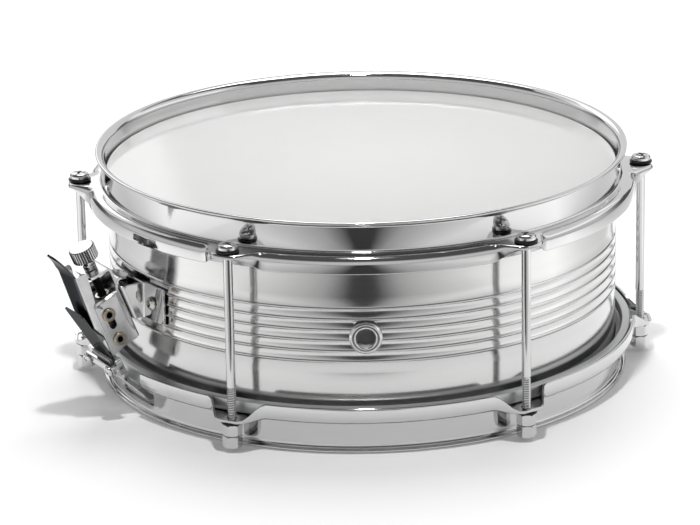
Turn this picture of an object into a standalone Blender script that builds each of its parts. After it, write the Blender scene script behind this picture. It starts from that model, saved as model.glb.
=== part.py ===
"""A caixa: a shallow Brazilian snare drum with pressed hoops and a throw-off strainer.

The drum stands on its lower rim with its axis upright. Heights in the drum's own
frame are counted from the middle of the shell, and the strainer side faces -X.
The strainer is built upright in a frame of its own, which an empty then tilts.
"""

import math

import bmesh
import bpy
from mathutils import Euler, Matrix, Vector

MM = 0.001

# Clearances
SEAT = 0.3 * MM
RUNNING = 0.3 * MM

# Shell
SHELL_DIAMETER = 303.0 * MM
SHELL_DEPTH = 114.3 * MM
SHELL_WALL = 1.2 * MM
EDGE_ROLL = 2.0 * MM
EDGE_RETURN = 2.8 * MM
BEAD_COUNT = 6
BEAD_PITCH = 6.3 * MM
BEAD_HEIGHT = 0.9 * MM
ROUND_STEPS = 36
ROD_STEPS = 10
HOLE_SIDES = 10

# Heads
FILM = 0.35 * MM
COLLAR_DEPTH = 9.8 * MM
FLESH_GAP = 3.4 * MM
FLESH_WIDTH = 5.2 * MM
FLESH_HEIGHT = 7.8 * MM
FLESH_CORNER = 1.4 * MM

# Hoops
HOOP_SHEET = 1.8 * MM
HOOP_PLAY = 1.45 * MM
HOOP_RISE = 11.45 * MM
RIM_FLARE = 4.2 * MM
RIM_FLAT = 1.0 * MM
LEDGE_DROP = 18.2 * MM
LEDGE_FILLET = 1.6 * MM
LIP_BEND = 2.6 * MM
LIP_HEIGHT = 10.4 * MM
FLESH_PLAY = 0.85 * MM

# Ears, one at each rod
EAR_COUNT = 6
HOOP_TURN = math.radians(2.7)
ROD_REACH = 13.05 * MM
EAR_MARGIN = 6.9 * MM
EAR_FLAT = 8.0 * MM
EAR_SPREAD = 19.5 * MM
EAR_STATIONS = (0.0, 0.36, 0.66, 1.0)
GAP_STATIONS = 4

# Snare gates in the bottom hoop
GATE_WIDTH = 37.5 * MM
GATE_FLOOR = 6.4 * MM
GATE_CORNER = 2.0 * MM

# Tension rods
ROD_DIAMETER = 5.3 * MM
ROD_HOLE_PLAY = 0.45 * MM
ROD_HEAD_DIAMETER = 11.5 * MM
ROD_HEAD_HEIGHT = 3.4 * MM
WASHER_DIAMETER = 13.4 * MM
WASHER_THICKNESS = 1.2 * MM
NUT_FLATS = 10.0 * MM
NUT_HEIGHT = 6.9 * MM
NUT_FACE = 1.2 * MM
NUT_PLAY = 0.3 * MM
ROD_TAIL_INSET = 0.8 * MM

# Vent eyelet
VENT_ANGLE = math.radians(-120.0)
VENT_HEIGHT = -1.0 * MM
VENT_BORE = 11.0 * MM
VENT_BARREL_WALL = 0.8 * MM
VENT_DIAMETER = 19.0 * MM
VENT_RING = 2.0 * MM
VENT_CLENCH = 1.7 * MM

# Strainer's own frame: where its foot stands and how far it leans out
STRAINER_ANGLE = math.radians(180.0)
STRAINER_STAND_OFF = 7.0 * MM
STRAINER_FOOT_HEIGHT = -19.5 * MM
STRAINER_TILT = math.radians(22.0)

# Strainer frame, a bent channel
FRAME_SHEET = 1.5 * MM
FRAME_WIDTH = 25.4 * MM
FRAME_LENGTH = 48.0 * MM
FRAME_BEND = 3.0 * MM
CHEEK_DEPTH = 17.5 * MM
CHEEK_LENGTH = 33.0 * MM
CHEEK_CORNER = 4.0 * MM
FLANGE_REACH = 12.5 * MM
FLANGE_CORNER = 3.0 * MM

# Pins across the strainer frame
PIN_DIAMETER = 4.0 * MM
PIN_OUTWARD = 11.6 * MM
PIVOT_HEIGHT = 5.8 * MM
GUIDE_HEIGHT = 22.9 * MM
PIN_HEAD_DIAMETER = 8.2 * MM
PIN_HEAD = 1.1 * MM
CARRIAGE_TRAVEL = 2.0 * MM
GUIDE_SLOT_DROP = 7.4 * MM

# Carriage block and its adjusting screw
BLOCK_BACK = 1.8 * MM
BLOCK_DEPTH = 13.6 * MM
BLOCK_FOOT = 2.2 * MM
BLOCK_LENGTH = 27.2 * MM
SCREW_OUTWARD = 6.0 * MM
SCREW_DIAMETER = 5.0 * MM
SCREW_FOOT = 4.5 * MM
COLLAR_DIAMETER = 7.6 * MM
COLLAR_LENGTH = 6.6 * MM
KNOB_DIAMETER = 15.6 * MM
KNOB_HEIGHT = 8.4 * MM
KNOB_CHAMFER = 0.5 * MM
CLIP_DIAMETER = 8.4 * MM
CLIP_THICKNESS = 1.0 * MM

# Lever
LEVER_SHEET = 1.2 * MM
WEB_FOOT = (23.0 * MM, 19.0 * MM)
WEB_TOP = (21.2 * MM, 53.0 * MM)
LEVER_BACK_TOP = 12.8 * MM
LEVER_BACK_LOW = 15.6 * MM
LEVER_BOSS = 5.2 * MM
STRIP_FRONT = 19.1 * MM
STRIP_FOOT = -2.5 * MM
TONGUE_LENGTH = 16.0 * MM
TONGUE_FLARE = 4.9 * MM
TONGUE_TIP = 4.6 * MM

# Release plate, from the clamp up in front of the web
PLATE_FOOT_OUTWARD = 20.9 * MM
PLATE_TOP_OUTWARD = 26.9 * MM
PLATE_TOP = 30.0 * MM
PLATE_HALF_WIDTH = 11.2 * MM
PLATE_CORNER = 1.5 * MM

# Snare clamp on the lever
CLAMP_BACK = 17.5 * MM
CLAMP_DEPTH = 4.0 * MM
CLAMP_WIDTH = 36.0 * MM
CLAMP_HEIGHT = 10.2 * MM
CLAMP_SCREW_SPACING = 27.0 * MM
CLAMP_BAR_DEPTH = 2.6 * MM
CLAMP_BAR_HEIGHT = 6.0 * MM
CLAMP_SCREW_DIAMETER = 3.8 * MM
CLAMP_HEAD_DIAMETER = 7.0 * MM
CLAMP_HEAD_HEIGHT = 2.2 * MM

# Brackets on the shell
BRACKET_SHEET = 1.5 * MM
BRACKET_SCREW_DIAMETER = 4.0 * MM
BRACKET_HEAD_DIAMETER = 8.0 * MM
BRACKET_HEAD_HEIGHT = 2.4 * MM
BRACKET_NUT_FLATS = 7.0 * MM
BRACKET_NUT_HEIGHT = 2.6 * MM
STRAINER_BRACKET_LOW = -9.0 * MM
STRAINER_BRACKET_HIGH = 12.0 * MM
STRAINER_WEB_WIDTH = 22.0 * MM
STRAINER_FOOT_LENGTH = 19.0 * MM
STRAINER_SCREW_OFFSET = 18.8 * MM
BRACE_HEIGHT = 16.8 * MM
BRACE_WIDTH = 16.0 * MM
BRACE_GAP = 8.5 * MM
BRACE_BEND = 3.0 * MM
RIVET_DIAMETER = 3.0 * MM
RIVET_HEAD_DIAMETER = 5.4 * MM
RIVET_HEAD = 0.9 * MM
RIVET_HEIGHTS = (15.0 * MM, 28.0 * MM)

# Butt end, opposite the strainer
BUTT_RISE = 19.65 * MM
BUTT_HEIGHT = 16.0 * MM
BUTT_STAND_OFF = 10.2 * MM
BUTT_WEB_WIDTH = 36.0 * MM
BUTT_FOOT_LENGTH = 12.0 * MM
BUTT_SCREW_OFFSET = 25.0 * MM
BUTT_CLAMP_RISE = 5.0 * MM

# Snare wires and straps
WIRE_COUNT = 10
WIRE_PITCH = 2.8 * MM
WIRE_DIAMETER = 2.0 * MM
WIRE_INSET = 25.5 * MM
END_PLATE_LENGTH = 13.0 * MM
END_PLATE_MARGIN = 2.0 * MM
END_PLATE_THICKNESS = 1.2 * MM
END_PLATE_BITE = 0.5 * MM
STRAP_WIDTH = 20.0 * MM
STRAP_THICKNESS = 0.6 * MM

# Worked out from the driving sizes
SHELL_RADIUS = SHELL_DIAMETER / 2
HALF_DEPTH = SHELL_DEPTH / 2
RIM_HEIGHT = HALF_DEPTH + HOOP_RISE
WALL_IN = SHELL_RADIUS + HOOP_PLAY
WALL_OUT = WALL_IN + HOOP_SHEET
RIM_RADIUS = WALL_IN + RIM_FLARE + RIM_FLAT
LEDGE_HEIGHT = RIM_HEIGHT - LEDGE_DROP
LEDGE_UNDER = LEDGE_HEIGHT - HOOP_SHEET
FILM_OUT = SHELL_RADIUS + SEAT + FILM
FILM_TOP = HALF_DEPTH + SEAT + FILM
FLESH_IN = FILM_OUT + FLESH_GAP
FLESH_OUT = FLESH_IN + FLESH_WIDTH
FLESH_TOP = LEDGE_UNDER - SEAT
LIP_RADIUS = FLESH_OUT + FLESH_PLAY + HOOP_SHEET
ROD_CIRCLE_RADIUS = WALL_OUT + ROD_REACH
EAR_RADIUS = ROD_CIRCLE_RADIUS + EAR_MARGIN
STRAINER_RADIUS = SHELL_RADIUS + STRAINER_STAND_OFF
BUTT_LOW = BUTT_RISE - HALF_DEPTH
BUTT_HIGH = BUTT_LOW + BUTT_HEIGHT
BUTT_CLAMP_HEIGHT = BUTT_LOW + BUTT_CLAMP_RISE
WIRE_SPAN = SHELL_DIAMETER - 2 * WIRE_INSET
CHEEK_INNER = FRAME_WIDTH / 2 - FRAME_SHEET
LEVER_HALF_WIDTH = CHEEK_INNER - RUNNING
BLOCK_HALF_WIDTH = LEVER_HALF_WIDTH - LEVER_SHEET - 2 * RUNNING
SCREW_HOLE_RADIUS = SCREW_DIAMETER / 2 + RUNNING
PIN_HOLE_RADIUS = PIN_DIAMETER / 2 + RUNNING
WIRE_HEIGHT = -(FILM_TOP + SEAT + WIRE_DIAMETER / 2)
END_PLATE_TOP = WIRE_HEIGHT - WIRE_DIAMETER / 2 + END_PLATE_BITE
STRAP_LEVEL = END_PLATE_TOP - END_PLATE_THICKNESS - SEAT - STRAP_THICKNESS / 2


def clear_scene():
    """Removes every object of the open scene."""
    for obj in list(bpy.data.objects):
        bpy.data.objects.remove(obj, do_unlink=True)


def make_collection(name, hidden):
    """A collection in the scene, left out of renders when it only holds helpers."""
    collection = bpy.data.collections.new(name)
    bpy.context.scene.collection.children.link(collection)
    collection.hide_render = hidden
    return collection


clear_scene()
PARTS = make_collection("caixa", False)
HELPERS = make_collection("caixa_cutters", True)


def make_material(name, colour, metallic, roughness):
    """A Principled material with a plain colour."""
    material = bpy.data.materials.new(name)
    material.use_nodes = True
    shader = material.node_tree.nodes["Principled BSDF"]
    shader.inputs["Base Color"].default_value = (*colour, 1.0)
    shader.inputs["Metallic"].default_value = metallic
    shader.inputs["Roughness"].default_value = roughness
    return material


ALUMINIUM = make_material("brushed_aluminium", (0.72, 0.72, 0.72), 1.0, 0.3)
CHROME = make_material("polished_chrome", (0.78, 0.78, 0.79), 1.0, 0.06)
ZINC = make_material("plated_steel", (0.62, 0.62, 0.6), 1.0, 0.25)
BLACKENED = make_material("blackened_steel", (0.03, 0.03, 0.03), 0.6, 0.35)
HEAD_FILM = make_material("white_film", (0.81, 0.81, 0.8), 0.0, 0.2)
STRAP_FILM = make_material("clear_film", (0.85, 0.87, 0.88), 0.0, 0.15)


def add_object(name, data, material, parent, collection=PARTS):
    """Puts a mesh or curve in the scene under its name."""
    obj = bpy.data.objects.new(name, data)
    collection.objects.link(obj)
    obj.parent = parent
    if material is not None:
        data.materials.append(material)
    if collection is HELPERS:
        obj.hide_render = True
        obj.display_type = "WIRE"
    return obj


def make_empty(name, parent, location=(0, 0, 0), rotation=(0, 0, 0)):
    """An empty that carries the pieces built in its axes."""
    empty = bpy.data.objects.new(name, None)
    PARTS.objects.link(empty)
    empty.parent = parent
    empty.location = location
    empty.rotation_euler = rotation
    return empty


def shade(mesh, angle=40):
    """Smooth shading that keeps edges sharper than the angle."""
    mesh.shade_smooth()
    mesh.set_sharp_from_angle(angle=math.radians(angle))


def polyline_mesh(name, points, closed):
    """A chain of edges in the XZ plane, the profile of a turned shape."""
    mesh = bpy.data.meshes.new(name)
    edges = [(i, i + 1) for i in range(len(points) - 1)]
    if closed:
        edges.append((len(points) - 1, 0))
    mesh.from_pydata([(r, 0, z) for r, z in points], edges, [])
    return mesh


def turned(name, points, material, parent, steps, closed=False, collection=PARTS):
    """Turns a profile about Z. An open profile starts and ends on the axis, or gets a wall later."""
    obj = add_object(name, polyline_mesh(name, points, closed), material, parent, collection)
    screw = obj.modifiers.new("turn", "SCREW")
    screw.angle = math.tau
    screw.steps = steps
    screw.render_steps = steps
    screw.use_merge_vertices = True
    screw.merge_threshold = 0.00001
    screw.use_smooth_shade = True
    weld = obj.modifiers.new("weld", "WELD")
    weld.merge_threshold = 0.00001
    return obj


def arc(centre, radius, start, end, count):
    """Points along an arc, ends included, with angles in degrees."""
    points = []
    for i in range(count):
        angle = math.radians(start + (end - start) * i / (count - 1))
        points.append((centre[0] + radius * math.cos(angle), centre[1] + radius * math.sin(angle)))
    return points


def prism(name, outline, low, high, plane, material, parent, holes=(), collection=PARTS):
    """A flat outline with holes, extruded along the axis that its plane leaves out."""
    curve = bpy.data.curves.new(name, "CURVE")
    curve.dimensions = "2D"
    curve.fill_mode = "BOTH"
    curve.extrude = (high - low) / 2
    for loop in (outline, *holes):
        spline = curve.splines.new("POLY")
        spline.points.add(len(loop) - 1)
        for point, (u, v) in zip(spline.points, loop):
            point.co = (u, v, 0, 1)
        spline.use_cyclic_u = True
    flat = bpy.data.objects.new(name, curve)
    bpy.context.scene.collection.objects.link(flat)
    graph = bpy.context.evaluated_depsgraph_get()
    mesh = bpy.data.meshes.new_from_object(flat.evaluated_get(graph))
    bpy.data.objects.remove(flat, do_unlink=True)
    bpy.data.curves.remove(curve)
    middle = (high + low) / 2
    place = {
        "XY": Matrix(((1, 0, 0, 0), (0, 1, 0, 0), (0, 0, 1, middle), (0, 0, 0, 1))),
        "XZ": Matrix(((1, 0, 0, 0), (0, 0, -1, middle), (0, 1, 0, 0), (0, 0, 0, 1))),
        "YZ": Matrix(((0, 0, 1, middle), (1, 0, 0, 0), (0, 1, 0, 0), (0, 0, 0, 1))),
    }[plane]
    weld_mesh(mesh, place)
    shade(mesh)
    mesh.name = name
    return add_object(name, mesh, material, parent, collection)


def weld_mesh(mesh, place):
    """Places a mesh, joins its doubled points and turns its faces outwards."""
    work = bmesh.new()
    work.from_mesh(mesh)
    bmesh.ops.remove_doubles(work, verts=work.verts, dist=0.000001)
    bmesh.ops.dissolve_degenerate(work, edges=work.edges, dist=0.0000001)
    work.transform(place)
    bmesh.ops.recalc_face_normals(work, faces=work.faces)
    work.to_mesh(mesh)
    work.free()


def rounded(corners):
    """An outline from corners of (u, v, radius), with an arc at each corner that has a radius."""
    outline = []
    for i, (u, v, radius) in enumerate(corners):
        if radius == 0:
            outline.append((u, v))
            continue
        here = Vector((u, v))
        before = (Vector(corners[i - 1][:2]) - here).normalized()
        after = (Vector(corners[(i + 1) % len(corners)][:2]) - here).normalized()
        half = before.angle(after) / 2
        reach = radius / math.tan(half)
        centre = here + (before + after).normalized() * radius / math.sin(half)
        first = here + before * reach - centre
        last = here + after * reach - centre
        sweep = first.angle_signed(last)
        for step in range(4):
            turn = Matrix.Rotation(-sweep * step / 3, 2)
            outline.append(tuple(centre + turn @ first))
    return outline


def circle(centre, radius, count=HOLE_SIDES):
    """A round hole's outline, with its flats at the radius."""
    reach = radius / math.cos(math.pi / count)
    points = []
    for i in range(count):
        angle = math.tau * (i + 0.5) / count
        points.append((centre[0] + reach * math.cos(angle), centre[1] + reach * math.sin(angle)))
    return points


def slot(centre_u, low, high, radius):
    """An upright slot with round ends, from the lowest to the highest centre."""
    return arc((centre_u, high), radius, 0, 180, 5) + arc((centre_u, low), radius, 180, 360, 5)


def rod_cutter(
    name, radius, low, high, parent, location=(0, 0, 0), rotation=(0, 0, 0), sides=HOLE_SIDES
):
    """A cylinder as a cutter, along its own Z from low to high, with its flats at the radius."""
    mesh = bpy.data.meshes.new(name)
    work = bmesh.new()
    reach = radius / math.cos(math.pi / sides)
    bmesh.ops.create_cone(
        work,
        cap_ends=True,
        segments=sides,
        radius1=reach,
        radius2=reach,
        depth=high - low,
    )
    work.transform(Matrix.Translation((0, 0, (high + low) / 2)))
    work.to_mesh(mesh)
    work.free()
    cutter = add_object(name, mesh, None, parent, HELPERS)
    cutter.location = location
    cutter.rotation_euler = rotation
    return cutter


def combine(obj, tool, operation):
    """A Boolean with another object."""
    modifier = obj.modifiers.new(operation.lower(), "BOOLEAN")
    modifier.operation = operation
    modifier.solver = "EXACT"
    modifier.object = tool


def cut(obj, tool):
    combine(obj, tool, "DIFFERENCE")


def smooth_step(value, low, high):
    """Zero below low, one above high, with an even slope between."""
    share = min(max((value - low) / (high - low), 0.0), 1.0)
    return share * share * (3 - 2 * share)


def on_circle(radius, angle, height=0.0):
    """A place at a radius and an angle about the drum's axis."""
    return Vector((radius * math.cos(angle), radius * math.sin(angle), height))


def rod_angle(index):
    """The angle of a rod and its ears about the drum's axis."""
    return math.tau * (index + 0.5) / EAR_COUNT + HOOP_TURN


def shell_profile():
    """The shell's outer skin from top to bottom, with rolled edges and beads."""
    top = HALF_DEPTH
    points = [
        (SHELL_RADIUS - EDGE_ROLL - EDGE_RETURN, top - EDGE_ROLL / 2),
        (SHELL_RADIUS - EDGE_ROLL * 0.8, top),
        (SHELL_RADIUS, top - EDGE_ROLL * 0.8),
    ]
    half_band = BEAD_COUNT * BEAD_PITCH / 2
    for i in range(BEAD_COUNT):
        crest = half_band - (i + 0.5) * BEAD_PITCH
        points.append((SHELL_RADIUS, crest + BEAD_PITCH / 2))
        points.append((SHELL_RADIUS + BEAD_HEIGHT, crest))
    points.append((SHELL_RADIUS, -half_band))
    return points + [(r, -z) for r, z in reversed(points[:3])]


def build_shell(axis):
    """The beaded aluminium shell, drilled for the vent and the brackets."""
    shell = turned("shell", shell_profile(), ALUMINIUM, axis, ROUND_STEPS)
    wall = shell.modifiers.new("wall", "SOLIDIFY")
    wall.thickness = SHELL_WALL
    wall.offset = -1
    wall.use_even_offset = True
    hole = VENT_BORE / 2 + VENT_BARREL_WALL + RUNNING
    holes = [(VENT_ANGLE, VENT_HEIGHT, hole)]
    screw_hole = BRACKET_SCREW_DIAMETER / 2 + RUNNING
    for side in (-1, 1):
        turn = side * STRAINER_SCREW_OFFSET / SHELL_RADIUS
        middle = (STRAINER_BRACKET_LOW + STRAINER_BRACKET_HIGH) / 2
        holes.append((STRAINER_ANGLE + turn, middle, screw_hole))
        turn = side * BUTT_SCREW_OFFSET / SHELL_RADIUS
        holes.append((turn, (BUTT_LOW + BUTT_HIGH) / 2, screw_hole))
    for i, (angle, height, radius) in enumerate(holes):
        place = on_circle(SHELL_RADIUS, angle, height)
        facing = (0, math.radians(90), angle)
        reach = 5 * SHELL_WALL
        cut(shell, rod_cutter(f"shell_hole_{i}", radius, -reach, reach, axis, place, facing))
    return shell


def head_profile():
    """The film's section: flat over the shell, down the collar and out to the flesh hoop."""
    shoulder = 1.6 * MM
    foot = FILM_TOP - COLLAR_DEPTH
    spread = FLESH_IN - SEAT
    drop = (spread - FILM_OUT) * 0.8
    outer = [
        (0, FILM_TOP),
        (FILM_OUT - shoulder, FILM_TOP),
        (FILM_OUT, FILM_TOP - shoulder),
        (FILM_OUT, foot),
        (spread, foot - drop),
    ]
    inner = [
        (spread - FILM * 0.6, foot - drop - FILM),
        (FILM_OUT - FILM, foot - FILM * 0.5),
        (FILM_OUT - FILM, FILM_TOP - shoulder - FILM * 0.3),
        (FILM_OUT - shoulder - FILM * 0.3, FILM_TOP - FILM),
        (0, FILM_TOP - FILM),
    ]
    return outer + inner


def build_heads(axis):
    """Both films and the flesh hoops that hold them. The lower ones are turned over."""
    for side, label in ((1, "batter"), (-1, "snare")):
        flip = (0 if side == 1 else math.pi, 0, 0)
        film = turned(f"{label}_head", head_profile(), HEAD_FILM, axis, ROUND_STEPS)
        film.rotation_euler = flip
        ring = [
            (FLESH_IN, FLESH_TOP),
            (FLESH_OUT - FLESH_CORNER, FLESH_TOP),
            (FLESH_OUT, FLESH_TOP - FLESH_CORNER),
            (FLESH_OUT, FLESH_TOP - FLESH_HEIGHT),
            (FLESH_IN, FLESH_TOP - FLESH_HEIGHT),
        ]
        name = f"{label}_flesh_hoop"
        flesh = turned(name, ring, ALUMINIUM, axis, ROUND_STEPS, closed=True)
        flesh.rotation_euler = flip


def hoop_section(reach, skirt):
    """The hoop's section as (radius, height): a flared rim, a wall, a ledge and a lip.

    reach is how far out the ledge goes, and skirt is how much of the lip is left.
    """
    top = RIM_HEIGHT
    flare = (WALL_IN + RIM_FLARE, top - RIM_FLARE)
    bend = (reach - LIP_BEND, LEDGE_HEIGHT - LIP_BEND)
    edge = LEDGE_HEIGHT - LIP_BEND - (LIP_HEIGHT - LIP_BEND) * skirt
    outer = [(RIM_RADIUS, top - HOOP_SHEET)]
    outer += arc(flare, RIM_FLARE - HOOP_SHEET, 90, 180, 3)
    outer.append((WALL_OUT, LEDGE_HEIGHT + LEDGE_FILLET))
    outer.append((WALL_OUT + LEDGE_FILLET, LEDGE_HEIGHT))
    outer += arc(bend, LIP_BEND, 90, 0, 2)
    outer.append((reach, edge - 0.2 * MM))
    inner = [
        (reach - HOOP_SHEET, edge - 0.2 * MM),
        (reach - HOOP_SHEET, LEDGE_HEIGHT - LIP_BEND),
        (reach - LIP_BEND, LEDGE_UNDER),
        (WALL_IN, LEDGE_UNDER),
    ]
    inner += arc(flare, RIM_FLARE, 180, 90, 3)
    inner.append((RIM_RADIUS, top))
    return outer + inner


def hoop_stations():
    """Pairs of angle and distance from the nearest ear's middle, along the rod circle."""
    stations = []
    edge = EAR_SPREAD / ROD_CIRCLE_RADIUS
    gap = math.tau / EAR_COUNT - 2 * edge
    for ear in range(EAR_COUNT):
        middle = rod_angle(ear)
        for share in [-s for s in reversed(EAR_STATIONS[1:])] + list(EAR_STATIONS):
            stations.append((middle + share * edge, abs(share) * EAR_SPREAD))
        for step in range(GAP_STATIONS):
            turn = edge + gap * (step + 1) / (GAP_STATIONS + 1)
            stations.append((middle + turn, EAR_SPREAD))
    return stations


def hoop_mesh(name):
    """Lofts the hoop's section round the drum. It swells into an ear at each rod."""
    work = bmesh.new()
    rings = []
    for angle, distance in hoop_stations():
        skirt = smooth_step(distance, EAR_FLAT, EAR_SPREAD)
        bulge = 1 - smooth_step(distance, EAR_FLAT * 0.6, EAR_SPREAD * 0.95)
        reach = LIP_RADIUS + (EAR_RADIUS - LIP_RADIUS) * bulge
        section = hoop_section(reach, skirt)
        rings.append([work.verts.new(on_circle(r, angle, z)) for r, z in section])
    for ring, following in zip(rings, rings[1:] + rings[:1]):
        for i in range(len(ring)):
            j = (i + 1) % len(ring)
            work.faces.new((ring[i], ring[j], following[j], following[i]))
    bmesh.ops.recalc_face_normals(work, faces=work.faces)
    mesh = bpy.data.meshes.new(name)
    work.to_mesh(mesh)
    work.free()
    shade(mesh, 50)
    return mesh


def drill_ears(hoop, axis):
    """A hole for the rod in each ear."""
    radius = ROD_DIAMETER / 2 + ROD_HOLE_PLAY
    for ear in range(EAR_COUNT):
        place = on_circle(ROD_CIRCLE_RADIUS, rod_angle(ear))
        name = f"{hoop.name}_hole_{ear + 1}"
        reach = RIM_HEIGHT
        cut(hoop, rod_cutter(name, radius, -reach, reach, axis, place))


def build_hoops(axis):
    """The two hoops. The lower one is turned over and cut away at both snare gates."""
    top = add_object("top_hoop", hoop_mesh("top_hoop"), CHROME, axis)
    drill_ears(top, axis)
    bottom = add_object("bottom_hoop", hoop_mesh("bottom_hoop"), CHROME, axis)
    mirror = Matrix.Diagonal((1, 1, -1, 1))
    bottom.data.transform(mirror)
    bottom.data.flip_normals()
    drill_ears(bottom, axis)
    floor = -RIM_HEIGHT + GATE_FLOOR
    top_of_cut = -LEDGE_HEIGHT + LIP_HEIGHT + 2 * HOOP_SHEET
    near = WALL_IN - HOOP_SHEET
    far = LIP_RADIUS + HOOP_SHEET
    half = GATE_WIDTH / 2
    gate = rounded(
        [
            (-half, floor, GATE_CORNER),
            (half, floor, GATE_CORNER),
            (half, top_of_cut, 0),
            (-half, top_of_cut, 0),
        ]
    )
    for label, side in (("strainer", -1), ("butt", 1)):
        low, high = sorted((side * near, side * far))
        name = f"{label}_gate"
        cut(bottom, prism(name, gate, low, high, "YZ", None, axis, (), HELPERS))


def hexagon(flats):
    """A hexagon's outline from its size across flats."""
    return circle((0, 0), flats / 2, 6)


def build_rods(axis):
    """Tension rods with their washers above and two nuts below each."""
    head_low = LEDGE_HEIGHT + 2 * SEAT + WASHER_THICKNESS
    nut_top = -(LEDGE_HEIGHT + SEAT + NUT_FACE)
    lock_top = nut_top - NUT_HEIGHT - SEAT
    tail = lock_top - NUT_HEIGHT + ROD_TAIL_INSET
    shank = ROD_DIAMETER / 2
    head = ROD_HEAD_DIAMETER / 2
    rod = [
        (0, head_low + ROD_HEAD_HEIGHT),
        (head * 0.5, head_low + ROD_HEAD_HEIGHT * 0.92),
        (head * 0.87, head_low + ROD_HEAD_HEIGHT * 0.6),
        (head, head_low),
        (shank, head_low),
        (shank, tail),
        (0, tail),
    ]
    washer_low = LEDGE_HEIGHT + SEAT
    hole = shank + ROD_HOLE_PLAY
    ring = [
        (hole, washer_low + WASHER_THICKNESS),
        (WASHER_DIAMETER / 2, washer_low + WASHER_THICKNESS),
        (WASHER_DIAMETER / 2, washer_low),
        (hole, washer_low),
    ]
    bore = circle((0, 0), shank + NUT_PLAY)
    for i in range(EAR_COUNT):
        place = on_circle(ROD_CIRCLE_RADIUS, rod_angle(i))
        pieces = [turned(f"tension_rod_{i + 1}", rod, CHROME, axis, ROD_STEPS)]
        pieces.append(turned(f"rod_washer_{i + 1}", ring, BLACKENED, axis, ROD_STEPS, closed=True))
        for label, top in (("rod_nut", nut_top), ("lock_nut", lock_top)):
            name = f"{label}_{i + 1}"
            low = top - NUT_HEIGHT
            pieces.append(prism(name, hexagon(NUT_FLATS), low, top, "XY", CHROME, axis, [bore]))
        for piece in pieces:
            piece.location = place
            piece.rotation_euler = (0, 0, rod_angle(i))


def build_vent(axis):
    """The vent eyelet: a rolled ring outside, a barrel through the shell and a clenched rim."""
    bore = VENT_BORE / 2
    barrel = bore + VENT_BARREL_WALL
    rim = VENT_DIAMETER / 2
    behind = -(BEAD_HEIGHT + SHELL_WALL + 5 * SEAT)
    profile = [
        (bore, VENT_RING * 0.6),
        (bore + (rim - bore) * 0.2, VENT_RING),
        (bore + (rim - bore) * 0.5, VENT_RING * 0.7),
        (bore + (rim - bore) * 0.8, VENT_RING * 0.85),
        (rim, VENT_RING * 0.3),
        (rim, 0),
        (barrel, 0),
        (barrel, behind),
        (barrel + VENT_CLENCH, behind),
        (barrel + VENT_CLENCH * 0.8, behind - VENT_BARREL_WALL),
        (bore, behind - VENT_BARREL_WALL),
    ]
    vent = turned("vent_eyelet", profile, CHROME, axis, 16, closed=True)
    vent.location = on_circle(SHELL_RADIUS + BEAD_HEIGHT + SEAT, VENT_ANGLE, VENT_HEIGHT)
    vent.rotation_euler = (0, math.radians(90), VENT_ANGLE)


def pan_screw(name, head_diameter, head_height, diameter, length, material, parent, nut=0.0):
    """A pan-head screw along its own Z, with its head's seat at zero and its shank below.

    nut is the height of a hexagon nut at the end of the shank, whose flats come from
    the bracket's sizes.
    """
    head = head_diameter / 2
    shank = diameter / 2
    profile = [
        (0, head_height),
        (head * 0.7, head_height * 0.9),
        (head, 0),
        (shank, 0),
        (shank, -length),
        (0, -length),
    ]
    screw = turned(name, profile, material, parent, ROD_STEPS)
    if nut:
        low = -length + 0.4 * MM
        outline = hexagon(BRACKET_NUT_FLATS)
        tool = prism(f"{name}_nut", outline, low, low + nut, "XY", None, screw, (), HELPERS)
        combine(screw, tool, "UNION")
    return screw


def bracket_outline(web_radius, web_width, foot_length):
    """A hat-shaped strip seen from above: curved feet on the shell and a straight web.

    It is given in the plane of radius outwards (u) and sideways (v).
    """
    inner = SHELL_RADIUS + BEAD_HEIGHT + SEAT
    outer = inner + BRACKET_SHEET
    wall = web_width / 2
    near = math.asin(wall / outer)
    far = near + foot_length / outer
    half = []
    for step in range(4):
        angle = far + (near - far) * step / 3
        half.append((outer * math.cos(angle), outer * math.sin(angle)))
    half.append((web_radius, wall))
    other = []
    for step in range(4):
        angle = near - BRACKET_SHEET / outer + (far - near + BRACKET_SHEET / outer) * step / 3
        other.append((inner * math.cos(angle), inner * math.sin(angle)))
    inside = [(web_radius - BRACKET_SHEET, wall - BRACKET_SHEET)] + other
    mirrored_half = [(u, -v) for u, v in reversed(half)]
    mirrored_inside = [(u, -v) for u, v in reversed(inside)]
    return half + mirrored_half + mirrored_inside + inside


def hat_bracket(name, low, high, web_low, web_high, web_width, foot_length, axis, angle):
    """Lofts the hat-shaped strip between its lower and upper outlines, so its web can lean."""
    work = bmesh.new()
    rings = []
    for height, web_radius in ((low, web_low), (high, web_high)):
        outline = bracket_outline(web_radius, web_width, foot_length)
        rings.append([work.verts.new((u, v, height)) for u, v in outline])
    count = len(rings[0])
    for i in range(count):
        j = (i + 1) % count
        work.faces.new((rings[0][i], rings[0][j], rings[1][j], rings[1][i]))
    work.faces.new(rings[0])
    work.faces.new(rings[1])
    bmesh.ops.triangulate(work, faces=[f for f in work.faces if len(f.verts) > 4])
    bmesh.ops.recalc_face_normals(work, faces=work.faces)
    mesh = bpy.data.meshes.new(name)
    work.to_mesh(mesh)
    work.free()
    shade(mesh)
    bracket = add_object(name, mesh, CHROME, axis)
    bracket.rotation_euler = (0, 0, angle)
    return bracket


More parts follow.
